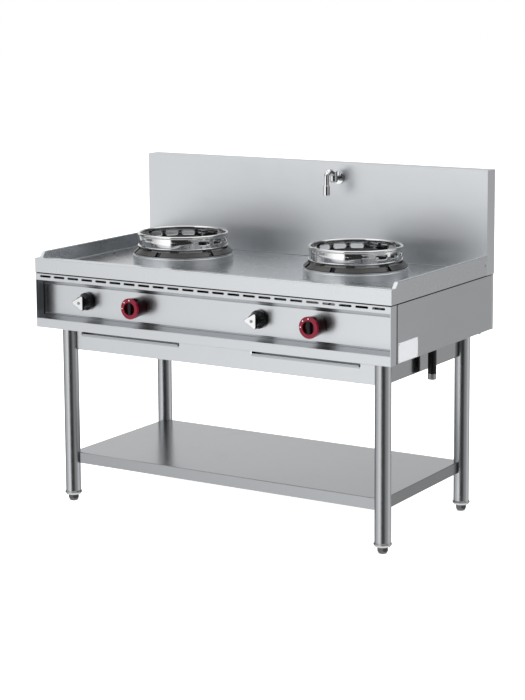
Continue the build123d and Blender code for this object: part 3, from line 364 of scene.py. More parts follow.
@dataclass(frozen=True)
class BrushedSheet(Finish):
    """Stainless sheet with fine straight brush marks."""

    grain: Grain = Grain.ACROSS
    level: float = 0.62
    roughness: float = 0.3
    contrast: float = 0.05
    joints: tuple[Joint, ...] = ()

    def look(self, maker: ShaderMaker) -> dict:
        """Lay streaks along the grain, faint clouds and finger marks, and painted shade in the seams where
        sheets meet.

        Args:
            maker: the empty material.

        Returns:
            What the shader gets.
        """
        coarse, fine = [90.0, 90.0, 90.0], [900.0, 900.0, 900.0]
        coarse[self.grain.value] = 1.2
        fine[self.grain.value] = 6.0
        streaks = maker.noise(tuple(coarse), detail=4.0, roughness=0.6)
        hairs = maker.noise(tuple(fine), detail=2.0)
        clouds = maker.noise(2.6, detail=2.0)
        marks = maker.noise(14.0, detail=5.0, roughness=0.65, distortion=0.6).ramp(0.5, 0.72)
        tone = (streaks - 0.5) * self.contrast * 2.0 + (clouds - 0.5) * self.contrast + 0.5
        dark, light = grey(self.level * 0.86, -0.03), grey(min(self.level * 1.14, 1.0), -0.03)
        colour = maker.mixed(tone, dark, light)
        # painted shade: a near-black line darkens each seam between sheets
        for joint in self.joints:
            half = joint.half * MM
            seam_shade = 1.0 - abs(maker.axis(joint.axis) - joint.place).ramp(half, half + FADE)
            colour = maker.mixed(seam_shade * 0.96, colour, grey(0.01))
        return {
            "Metallic": 1.0,
            "Base Color": colour,
            "Roughness": (streaks - 0.5) * 0.06 + (clouds - 0.5) * 0.05 + marks * 0.03 + self.roughness,
            "Normal": maker.bump(hairs * 0.6 + streaks * 0.4, 0.00006, 0.15),
        }


@dataclass(frozen=True)
class SpunCollar(Finish):
    """Collar ring brushed round its own axis."""

    centre_x: float = 0.0
    level: float = 0.5

    def look(self, maker: ShaderMaker) -> dict:
        """Lay fine marks in rings round the axis and one above another.

        Args:
            maker: the empty material.

        Returns:
            What the shader gets.
        """
        reach = length(maker.axis(0) - self.centre_x, maker.axis(1) - BURNER_Y)
        values = {"W": reach * 900.0 + maker.axis(2) * 1400.0, "Detail": 3.0, "Scale": 1.0}
        rings = Field(maker, maker.node("ShaderNodeTexNoise", {"noise_dimensions": "1D"}, values).outputs[0])
        clouds = maker.noise((22.0, 22.0, 60.0), detail=3.0)
        tone = (rings - 0.5) * 0.5 + (clouds - 0.5) * 0.5 + 0.5
        return {
            "Metallic": 1.0,
            "Base Color": maker.mixed(tone, grey(self.level * 0.85, -0.02), grey(self.level * 1.15, -0.02)),
            "Roughness": (rings - 0.5) * 0.1 + (clouds - 0.5) * 0.05 + 0.33,
            "Normal": maker.bump(rings, 0.0001, 0.4),
        }


@dataclass(frozen=True)
class Polished(Finish):
    """Bright polished or chromed metal with a few faint marks."""

    level: float = 0.8
    roughness: float = 0.06
    warmth: float = -0.01

    def look(self, maker: ShaderMaker) -> dict:
        """Leave faint wipe marks and specks.

        Args:
            maker: the empty material.

        Returns:
            What the shader gets.
        """
        wipes = maker.noise((30.0, 30.0, 8.0), detail=4.0, distortion=0.8)
        specks = maker.noise(320.0, detail=2.0).ramp(0.66, 0.78)
        dim, bright = grey(self.level * 0.95, self.warmth), grey(self.level, self.warmth)
        return {
            "Metallic": 1.0,
            "Base Color": maker.mixed(wipes, dim, bright),
            "Roughness": wipes * 0.05 + specks * 0.06 + (self.roughness - 0.02),
            "Normal": maker.bump(wipes, 0.00008, 0.2),
        }


@dataclass(frozen=True)
class CastIron(Finish):
    """Black cast iron with a sandy skin."""

    level: float = 0.15

    def soot_and_notch_shade(self, maker: ShaderMaker) -> Field:
        """Where the iron is black with soot, 0 to 1."""
        return maker.noise(30.0, detail=2.0).ramp(0.6, 0.9) * 0.3

    def look(self, maker: ShaderMaker) -> dict:
        """Lay sand grain, and a little brown where the iron has been hot.

        Args:
            maker: the empty material.

        Returns:
            What the shader gets.
        """
        sand = maker.noise(700.0, detail=3.0, roughness=0.6)
        lumps = maker.noise(60.0, detail=3.0)
        heat = maker.noise(16.0, detail=3.0).ramp(0.48, 0.7)
        brown = (self.level * 1.4, self.level * 1.36, self.level * 1.2, 1.0)
        colour = maker.mixed(heat * 0.5, grey(self.level), brown)
        return {
            "Metallic": 0.8,
            # soot; in NotchedIron this is painted shade, black inside the air notches
            "Base Color": maker.mixed(self.soot_and_notch_shade(maker), colour, grey(0.003)),
            "Roughness": sand * 0.18 + heat * 0.08 + 0.22,
            "Normal": maker.bump(sand * 0.4 + lumps * 0.6, 0.0004, 0.5),
        }


@dataclass(frozen=True)
class NotchedIron(CastIron):
    """Cast iron with painted shade: black painted inside its air notches."""

    centre_x: float = 0.0
    head: float = 0.0
    half: float = 8.0
    angles: tuple[float, ...] = ()

    def soot_and_notch_shade(self, maker: ShaderMaker) -> Field:
        """Paint shade black inside each notch, below its head.

        Args:
            maker: the empty material.

        Returns:
            1 in a notch, else 0.
        """
        across = maker.axis(0) - self.centre_x
        deep = maker.axis(1) - BURNER_Y
        half = self.half * MM
        inside: float | Field = 0.0
        for angle in self.angles:
            turn = math.radians(angle)
            off = abs(across * math.cos(turn) + deep * math.sin(turn))
            inside = (1.0 - off.ramp(half, half + FADE)).most(inside)
        return inside * (1.0 - maker.axis(2).ramp(self.head, self.head + FADE))


@dataclass(frozen=True)
class GlossyPlastic(Finish):
    """Moulded phenolic plastic, glossy, with hairline scratches."""

    colour: Colour = (0.02, 0.02, 0.02, 1.0)
    roughness: float = 0.16
    specular: float = 0.5
    coat: float = 0.3

    def shade(self, maker: ShaderMaker, flow: Field) -> bpy.types.NodeSocket:
        """The plastic's colour before dust."""
        return maker.mixed(flow, dimmed(self.colour, 0.75), self.colour)

    def look(self, maker: ShaderMaker) -> dict:
        """Give it a slight depth of colour, dust and fine scratches.

        Args:
            maker: the empty material.

        Returns:
            What the shader gets.
        """
        flow = maker.noise(40.0, detail=3.0, distortion=1.0)
        dust = maker.noise(600.0, detail=2.0).ramp(0.6, 0.75)
        scratches = maker.noise((70.0, 900.0, 160.0), detail=3.0)
        return {
            "Base Color": maker.mixed(dust * 0.02, self.shade(maker, flow), grey(0.5)),
            "Roughness": flow * 0.05 + dust * 0.1 + scratches * 0.05 + (self.roughness - 0.05),
            "Specular IOR Level": self.specular,
            "Coat Weight": self.coat,
            "Coat Roughness": 0.06,
            "Normal": maker.bump(scratches, 0.00005, 0.25),
        }


@dataclass(frozen=True)
class DottedKnob(GlossyPlastic):
    """Deep red moulding with white dots on its face ring, and painted shade darkening its barrel and pocket.
    """

    colour: Colour = (0.22, 0.003, 0.022, 1.0)
    roughness: float = 0.18
    specular: float = 0.3
    coat: float = 0.08
    centre: tuple[float, float] = (0.0, 680.0)
    # near-black red of the painted shade on the barrel and in the pocket
    barrel_and_pocket_shade: Colour = (0.022, 0.0015, 0.003, 1.0)
    face_depth: tuple[float, float] = (-6.5, 2.0)
    pocket: tuple[float, float] = (20.3, 20.9)
    dot_reach: float = 27.0
    dot_radius: tuple[float, float] = (1.7, 2.1)
    dots: tuple[float, ...] = (90.0, 135.0, 180.0)

    def shade(self, maker: ShaderMaker, flow: Field) -> bpy.types.NodeSocket:
        """Paint the ring, the dots, and the painted shade on the barrel and in the pocket; each pair of
        sizes is where an edge starts and ends.

        Args:
            maker: the empty material.
            flow: the plastic's slight unevenness.

        Returns:
            The colour before dust.
        """
        across = maker.axis(0) - self.centre[0] * MM
        upward = maker.axis(2) - self.centre[1] * MM
        front, back = (at(0, y, 0).y for y in self.face_depth)
        face = 1.0 - maker.axis(1).ramp(front, back)
        inner, outer = (reach * MM for reach in self.pocket)
        ring = face * length(across, upward).ramp(inner, outer)
        # painted shade: all but the face ring takes the barrel's near-black red
        colour = maker.mixed(ring, self.barrel_and_pocket_shade, super().shade(maker, flow))
        inner, outer = (reach * MM for reach in self.dot_radius)
        for angle in self.dots:
            off_x = across - self.dot_reach * MM * math.cos(math.radians(angle))
            off_z = upward - self.dot_reach * MM * math.sin(math.radians(angle))
            dot = 1.0 - length(off_x, off_z).ramp(inner, outer)
            colour = maker.mixed(dot * face, colour, grey(0.85))
        return colour


@dataclass(frozen=True)
class PaintedPipe(Finish):
    """Black painted gas pipe whose lowest end is bare metal."""

    bare_below: float = 0.0
    edge: float = 0.3

    def look(self, maker: ShaderMaker) -> dict:
        """Lay paint with orange peel, and a turned bare end below a height.

        Args:
            maker: the empty material.

        Returns:
            What the shader gets.
        """
        peel = maker.noise(260.0, detail=2.0)
        chips = maker.noise(90.0, detail=5.0, roughness=0.7).ramp(0.7, 0.76)
        edge = self.edge * MM
        bare = 1.0 - maker.axis(2).ramp(self.bare_below - edge, self.bare_below + edge)
        metal = bare.most(chips * 0.6)
        return {
            "Metallic": metal,
            "Base Color": maker.mixed(metal, grey(0.004), grey(0.42)),
            "Specular IOR Level": 0.25,
            "Roughness": peel * 0.12 + metal * 0.05 + 0.26,
            "Normal": maker.bump(peel, 0.0002, 0.4),
        }


@dataclass(frozen=True)
class TurnedMetal(Finish):
    """Turned brass or cast alloy with tool marks."""

    colour: Colour = (0.62, 0.44, 0.19, 1.0)
    roughness: float = 0.32

    def look(self, maker: ShaderMaker) -> dict:
        """Lay tool marks along the depth and tarnish in patches.

        Args:
            maker: the empty material.

        Returns:
            What the shader gets.
        """
        marks = maker.noise((60.0, 900.0, 60.0), detail=2.0)
        tarnish = maker.noise(45.0, detail=4.0).ramp(0.4, 0.75)
        return {
            "Metallic": 1.0,
            "Base Color": maker.mixed(tarnish, self.colour, dimmed(self.colour, 0.55)),
            "Roughness": tarnish * 0.2 + marks * 0.08 + self.roughness,
            "Normal": maker.bump(marks, 0.0001, 0.4),
        }


@dataclass(frozen=True)
class PlainMatt(Finish):
    """Soft matt skin of the blank plate."""

    colour: Colour = (0.9, 0.9, 0.9, 1.0)
    roughness: float = 0.5

    def look(self, maker: ShaderMaker) -> dict:
        """Lay a faint mottling.

        Args:
            maker: the empty material.

        Returns:
            What the shader gets.
        """
        mottle = maker.noise(30.0, detail=3.0)
        colour = maker.mixed(mottle, dimmed(self.colour, 0.97), self.colour)
        return {"Base Color": colour, "Roughness": mottle * 0.1 + self.roughness}


@dataclass(frozen=True)
class PaperFloor(Finish):
    """White studio paper that glows a little, brighter away from the range."""

    near: float = 0.8
    far: float = 1.0
    glow_reach: tuple[float, float] = (0.8, 3.0)

    def look(self, maker: ShaderMaker) -> dict:
        """Lay paper fibre, and a glow that grows with the distance from the middle.

        Args:
            maker: the empty material.

        Returns:
            What the shader gets.
        """
        fibre = maker.noise(160.0, detail=4.0)
        reach = length(maker.axis(0), maker.axis(1)).ramp(*self.glow_reach)
        return {
            "Base Color": maker.mixed(fibre, grey(0.8), grey(0.86)),
            "Roughness": fibre * 0.1 + 0.7,
            "Emission Color": maker.mixed(reach, grey(self.near), grey(self.far)),
            "Emission Strength": 1.0,
        }


# ------------------------------------------------------------------ mesh helpers
def in_scene(name: str, data: bpy.types.ID) -> bpy.types.Object:
    """Make an object of a mesh, a lamp or a camera.

    Args:
        name: the object's name.
        data: what it shows.

    Returns:
        The object, linked to the scene.
    """
    made = bpy.data.objects.new(name, data)
    bpy.context.scene.collection.objects.link(made)
    return made


def from_bmesh(name: str, build: bmesh.types.BMesh) -> bpy.types.Object:
    """Make an object of a bmesh.

    Args:
        name: the object's name.
        build: its shape; it is freed.

    Returns:
        The object, linked to the scene.
    """
    mesh = bpy.data.meshes.new(name)
    build.to_mesh(mesh)
    build.free()
    return in_scene(name, mesh)


def settle(piece: bpy.types.Object, modifier: bpy.types.Modifier) -> None:
    """Keep what a modifier makes of a piece as its plain mesh, and remove the modifier.

    Args:
        piece: the piece.
        modifier: its only modifier.
    """
    graph = bpy.context.evaluated_depsgraph_get()
    mesh = bpy.data.meshes.new_from_object(piece.evaluated_get(graph), depsgraph=graph)
    piece.modifiers.remove(modifier)
    piece.data = mesh


def carry(piece: bpy.types.Object, body: str) -> None:
    """Let a body carry a piece.

    Args:
        piece: the piece.
        body: the body it moves with.
    """
    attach(piece, body)
    log.info("piece %s: %d faces on %s", piece.name, len(piece.data.polygons), body)


def dress(finish: Finish, *nodes: str) -> None:
    """Give carried-over nodes their finish.

    Args:
        finish: the finish.
        *nodes: the nodes' names.
    """
    for node in nodes:
        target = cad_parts[node]
        if target.material_slots:
            for place in target.material_slots:
                place.material = finish.material()
        else:
            target.data.materials.append(finish.material())
        log.info("dressed %s with %s", node, finish.name)


def mesh_piece(name: str, build: bmesh.types.BMesh, finish: Finish, body: str) -> None:
    """Turn a bmesh into a finished piece that rides on a body.

    Args:
        name: the piece's name.
        build: the shape, in the frame's metres; it is freed.
        finish: its finish.
        body: the body it moves with.
    """
    bmesh.ops.remove_doubles(build, verts=build.verts, dist=MERGE_REACH)
    bmesh.ops.recalc_face_normals(build, faces=build.faces)
    piece = from_bmesh(name, build)
    piece.data.materials.append(finish.material())
    carry(piece, body)


def merged_copy(node: str, name: str) -> bpy.types.Object:
    """Copy a carried-over node with its loose triangles joined.

    Args:
        node: the node's name.
        name: the copy's name.

    Returns:
        The copy.
    """
    build = bmesh.new()
    build.from_mesh(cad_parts[node].data)
    bmesh.ops.remove_doubles(build, verts=build.verts, dist=MERGE_REACH)
    return from_bmesh(name, build)


def stand_in(piece: bpy.types.Object, finish: Finish, body: str, node: str) -> None:
    """Finish a reshaped copy and let it take its node's place.

    Args:
        piece: the copy.
        finish: its finish.
        body: the body it moves with.
        node: the node it stands in for.
    """
    mesh = piece.data
    if "custom_normal" in mesh.attributes:
        mesh.attributes.remove(mesh.attributes["custom_normal"])
    for face in mesh.polygons:
        face.use_smooth = True
    mesh.set_sharp_from_angle(angle=SHARP_ANGLE)
    mesh.materials.clear()
    mesh.materials.append(finish.material())
    carry(piece, body)
    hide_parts(node)


def rounded(corners: Outline, radius: float, steps: int = 6) -> Outline:
    """Round the corners of a convex outline.

    Args:
        corners: its corners in turn, in millimetres.
        radius: the rounding's radius.
        steps: pieces that each rounding is made of.

    Returns:
        The outline's points.
    """
    points = []
    for i, here in enumerate(corners):
        corner = Vector(here)
        back = (Vector(corners[i - 1]) - corner).normalized()
        ahead = (Vector(corners[(i + 1) % len(corners)]) - corner).normalized()
        half = back.angle(ahead) / 2.0
        middle = corner + (back + ahead).normalized() * (radius / math.sin(half))
        first = corner + back * (radius / math.tan(half)) - middle
        turn = (math.pi - 2.0 * half) * (1.0 if back.x * ahead.y - back.y * ahead.x < 0 else -1.0)
        for k in range(steps + 1):
            angle = turn * k / steps
            u = first.x * math.cos(angle) - first.y * math.sin(angle)
            v = first.x * math.sin(angle) + first.y * math.cos(angle)
            points.append((middle.x + u, middle.y + v))
    return points


def box_outline(left: float, foot: float, right: float, head: float, radius: float) -> Outline:
    """Outline of a rectangle with rounded corners, in millimetres."""
    return rounded([(left, foot), (right, foot), (right, head), (left, head)], radius)


def circle(radius: float, steps: int = 32) -> Outline:
    """Points round a circle."""
    turns = [2.0 * math.pi * k / steps for k in range(steps)]
    return [(radius * math.cos(turn), radius * math.sin(turn)) for turn in turns]


def slab(
    build: bmesh.types.BMesh, outline: Outline, place: Place, low: float, high: float, edge: float
) -> None:
    """Add a plate with a rounded front edge.

    Args:
        build: the mesh it is added to.
        outline: its outline in millimetres.
        place: turns outline and height into a place in the frame.
        low: height of its back.
        high: height of its front.
        edge: size of the rounded edge.
    """
    middle_u = sum(u for u, _ in outline) / len(outline)
    middle_v = sum(v for _, v in outline) / len(outline)
    reach = min(math.hypot(u - middle_u, v - middle_v) for u, v in outline)
    rings = []
    for shrink, level in ((0.0, low), (0.0, high - edge), (0.3 * edge, high - 0.3 * edge), (edge, high)):
        size = 1.0 - shrink / reach
        spots = [(middle_u + (u - middle_u) * size, middle_v + (v - middle_v) * size) for u, v in outline]
        rings.append([build.verts.new(place(u, v, level)) for u, v in spots])
    for lower, upper in zip(rings, rings[1:]):
        for i in range(len(outline)):
            j = (i + 1) % len(outline)
            build.faces.new((lower[i], lower[j], upper[j], upper[i]))
    build.faces.new(rings[-1])
    build.faces.new(rings[0][::-1])


class ShapeMaker(NodeWriter):
    """Builds a Geometry Nodes tree with named inputs and makes plain mesh pieces from it."""

    def __init__(self, name: str, inputs: dict[str, float | int]) -> None:
        """Start a tree.

        Args:
            name: the tree's name.
            inputs: each named input and its usual value.
        """
        super().__init__(bpy.data.node_groups.new(name, "GeometryNodeTree"))
        face = self.tree.interface
        face.new_socket("Geometry", in_out="INPUT", socket_type="NodeSocketGeometry")
        face.new_socket("Geometry", in_out="OUTPUT", socket_type="NodeSocketGeometry")
        self.sockets: dict[str, str] = {}
        for key, value in inputs.items():
            kind = "NodeSocketInt" if isinstance(value, int) else "NodeSocketFloat"
            socket = face.new_socket(key, in_out="INPUT", socket_type=kind)
            socket.default_value = value
            self.sockets[key] = socket.identifier
        self.inputs = inputs
        self.start = self.node("NodeGroupInput")

    def given(self, key: str) -> Field:
        """One of the named inputs."""
        return Field(self, self.start.outputs[key])

    def shape(self, kind: str, values: dict, settings: dict | None = None) -> bpy.types.NodeSocket:
        """Add a node and take its first output."""
        return self.node(kind, settings, values).outputs[0]

    def position(self) -> list[Field]:
        """The three coordinates of each point."""
        return self.split(self.shape("GeometryNodeInputPosition", {}))

    def vector(self, x: float | Field, y: float | Field, z: float | Field) -> bpy.types.NodeSocket:
        """Join three numbers to a vector."""
        return self.shape("ShaderNodeCombineXYZ", {0: x, 1: y, 2: z})

    def tube(self, line: bpy.types.NodeSocket, radius: Field, sides: int) -> bpy.types.NodeSocket:
        """Sweep a round profile along a curve.

        Args:
            line: the curve.
            radius: the profile's radius.
            sides: its number of sides.

        Returns:
            The tube.
        """
        profile = self.shape("GeometryNodeCurvePrimitiveCircle", {"Resolution": sides, "Radius": radius})
        values = {"Curve": line, "Profile Curve": profile, "Fill Caps": True}
        return self.shape("GeometryNodeCurveToMesh", values)

    def close(self, shape: bpy.types.NodeSocket, finish: Finish) -> None:
        """End the tree: realise the instances and set the material.

        Args:
            shape: what the tree has built.
            finish: its finish.
        """
        real = self.shape("GeometryNodeRealizeInstances", {0: shape})
        done = self.shape("GeometryNodeSetMaterial", {"Geometry": real, "Material": finish.material()})
        self.node("NodeGroupOutput", values={0: done})

    def piece(
        self, name: str, body: str, slot: str, move: Vector, points: list[Vector] | None = None
    ) -> None:
        """Run the tree once and keep its result as a plain mesh.

        Args:
            name: the piece's name.
            body: the body it moves with.
            slot: the record's material slot; not used.
            move: where the tree's origin goes in the frame.
            points: places that the tree puts its instances on.
        """
        seed = bpy.data.meshes.new(name)
        seed.from_pydata(points or [], [], [])
        holder = in_scene(name, seed)
        modifier = holder.modifiers.new("shape", "NODES")
        modifier.node_group = self.tree
        for key, value in self.inputs.items():
            modifier[self.sockets[key]] = value
        settle(holder, modifier)
        holder.data.transform(Matrix.Translation(move))
        for face in holder.data.polygons:
            face.use_smooth = True
        carry(holder, body)


@dataclass(frozen=True)
class ThreadSize:
    """A thread on an upright pipe end, in millimetres."""

    foot: tuple[float, float, float]
    radius: float
    rise: float
    pitch: float = 1.814
    ridge: float = 0.42


def thread(size: ThreadSize, name: str, slot: str, finish: Finish) -> None:
    """Wind a thread's ridge round a pipe end.

    Args:
        size: the thread.
        name: the piece's name.
        slot: the record's material slot.
        finish: the ridge's finish.
    """
    sizes = {"Radius": size.radius * MM, "Rise": size.rise * MM, "Turns": size.rise / size.pitch}
    maker = ShapeMaker(name, sizes | {"Ridge": size.ridge * MM})
    radius = maker.given("Radius")
    values = {"Resolution": 48, "Rotations": maker.given("Turns"), "Height": maker.given("Rise")}
    line = maker.shape("GeometryNodeCurveSpiral", values | {"Start Radius": radius, "End Radius": radius})
    maker.close(maker.tube(line, maker.given("Ridge"), sides=5), finish)
    maker.piece(name, "range_body", slot, at(*size.foot))


# ------------------------------------------------------------------ sub-assemblies
RETURN_END = at(0, 37.7, 0).y
PANEL_FRONT = at(0, 40.0, 0).y
PANEL_HEAD = at(0, 0, 766.0).z
SKIRT_FOOT = at(0, 0, 767.5).z
# where the sheets meet, lines of painted shade darken the seams
FRONT_JOINTS = (Joint(1, RETURN_END, 0.9), Joint(2, PANEL_HEAD, 1.0))
TOP_JOINTS = (Joint(2, SKIRT_FOOT, 0.8),)
SIDE_JOINTS = (Joint(1, PANEL_FRONT, 2.4), Joint(2, PANEL_HEAD, 1.6))


@dataclass
class Bodywork:
    """Worktop, backsplash, fascia, panels, aprons and shelf."""

    front: Finish = BrushedSheet("front_sheet", level=0.66, contrast=0.04, joints=FRONT_JOINTS)
    top: Finish = BrushedSheet("top_sheet", level=0.68, roughness=0.26, contrast=0.03, joints=TOP_JOINTS)
    side: Finish = BrushedSheet("side_sheet", Grain.DEEP, level=0.58, roughness=0.32, joints=SIDE_JOINTS)
    apron: Finish = BrushedSheet("side_apron_sheet", Grain.DEEP, level=0.58, roughness=0.12, contrast=0.04)
    splash: Finish = BrushedSheet("splash_sheet", level=0.68, roughness=0.36, contrast=0.03)
    shelf: Finish = BrushedSheet("shelf_sheet", level=0.4, roughness=0.2)
    tray: Finish = BrushedSheet("tray_sheet", Grain.DEEP, level=0.5, roughness=0.35, contrast=0.06)
    # painted shade: the frame and tray runners inside the body are painted very dark
    inner: Finish = BrushedSheet("inner_sheet", Grain.DEEP, level=0.12, roughness=0.45, contrast=0.06)
    fastener: Finish = Polished("screw_steel", level=0.35, roughness=0.2)
    hem_inset: float = 1.0
    hem_rise: float = 4.6
    hem_height: float = 4.0
    screw: Finish = Polished("small_screw", level=0.3, roughness=0.3)
    screw_radius: float = 4.2
    screw_side: float = 641.0
    screw_squash: tuple[float, float] = (1.0, 0.75)
    flange_screws: tuple[tuple[float, float], ...] = ((88.0, 586.5), (615.0, 586.5))
    plate: Finish = PlainMatt("plate_metal", (0.66, 0.67, 0.69, 1.0), roughness=0.35)
    plate_side: float = 648.0
    plate_depths: tuple[float, float] = (48.0, 172.0)
    plate_heights: tuple[float, float] = (591.0, 650.0)
    plate_thickness: float = 0.5
    rivet: Finish = Polished("rivet_steel", level=0.6, roughness=0.2)
    rivet_inset: float = 4.5
    rivet_radius: float = 1.7
    rivet_squash: tuple[float, float] = (0.4, 1.0)

    def build(self) -> None:
        """Dress every sheet, and add the hems, the plate and the small fasteners."""
        dress(self.front, "front_fascia", "front_apron")
        dress(self.top, "worktop")
        for side in BURNER_X:
            dress(self.side, "side_panel_" + side)
            dress(self.apron, "side_apron_" + side)
            dress(self.tray, "drip_tray_" + side)
            self._tray_hem(side)
        dress(self.splash, "backsplash", "backsplash_rear_cover", "rear_panel", "rear_apron")
        dress(self.shelf, "shelf")
        dress(self.inner, "top_frame", "tray_runners")
        dress(self.fastener, "screws")
        self._rating_plate()
        spots = [at(side * self.screw_side, y, z) for side in (-1, 1) for y, z in self.flange_screws]
        self._heads("flange_screws", self.screw_radius, self.screw_squash, self.screw, spots)

    def _tray_hem(self, side: str) -> None:
        """Fold a stiff hem along the front of a drip tray.

        Args:
            side: which tray.
        """
        low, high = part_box("drip_tray_" + side)
        front = (low[1] - SHIFT_Y) / MM
        foot = low[2] / MM + self.hem_rise
        left, right = low[0] / MM + self.hem_inset, high[0] / MM - self.hem_inset
        outline = box_outline(left, foot, right, foot + self.hem_height, radius=1.5)
        build = bmesh.new()
        slab(build, outline, lambda u, v, w: at(u, front - w, v), low=-3.4, high=-0.6, edge=0.7)
        mesh_piece("drip_tray_hem_" + side, build, self.tray, f"drip_tray_{side}_body")

    def _rating_plate(self) -> None:
        """Fix the blank plate and its rivets on the right side."""
        front, rear = self.plate_depths
        foot, head = self.plate_heights
        side, thick, inset = self.plate_side, self.plate_thickness, self.rivet_inset
        build = bmesh.new()
        outline = box_outline(front, foot, rear, head, radius=3.0)
        slab(build, outline, lambda u, v, w: at(side + w, u, v), low=-0.1, high=thick, edge=thick / 2.0)
        mesh_piece("rating_plate", build, self.plate, "range_body")
        depths, heights = (front + inset, rear - inset), (foot + inset, head - inset)
        spots = [at(side + thick, y, z) for y in depths for z in heights]
        self._heads("rating_plate_rivets", self.rivet_radius, self.rivet_squash, self.rivet, spots)

    def _heads(
        self, name: str, radius: float, squash: tuple[float, float], finish: Finish, points: list[Vector]
    ) -> None:
        """Put domed fastener heads on points.

        Args:
            name: the piece's name.
            radius: the heads' radius in millimetres.
            squash: how flat they are along the width and upward.
            finish: their finish.
            points: their places in the frame.
        """
        maker = ShapeMaker(name, {"Radius": radius * MM, "Squash X": squash[0], "Squash Z": squash[1]})
        values = {"Segments": 20, "Rings": 10, "Radius": maker.given("Radius")}
        ball = maker.shape("GeometryNodeMeshUVSphere", values)
        scale = maker.vector(maker.given("Squash X"), 1.0, maker.given("Squash Z"))
        head = maker.shape("GeometryNodeTransform", {"Geometry": ball, "Scale": scale})
        values = {"Points": maker.start.outputs["Geometry"], "Instance": head}
        maker.close(maker.shape("GeometryNodeInstanceOnPoints", values), finish)
        maker.piece(name, "range_body", "polished_tube", Vector((0, 0, 0)), points)


@dataclass
class Stand:
    """Legs, sleeves and screwed feet."""

    tube: Finish = BrushedSheet("leg_tube", Grain.UPRIGHT, level=0.54, roughness=0.33, contrast=0.04)
    sleeve: Finish = Polished("sleeve_metal", level=0.5, roughness=0.25)
    foot: Finish = Polished("foot_metal", level=0.13, roughness=0.35)

    def build(self) -> None:
        """Dress the legs and feet."""
        for leg in LEGS:
            dress(self.tube, "leg_" + leg)
            dress(self.foot, "adjustable_foot_" + leg)
        dress(self.sleeve, "leg_sleeves")


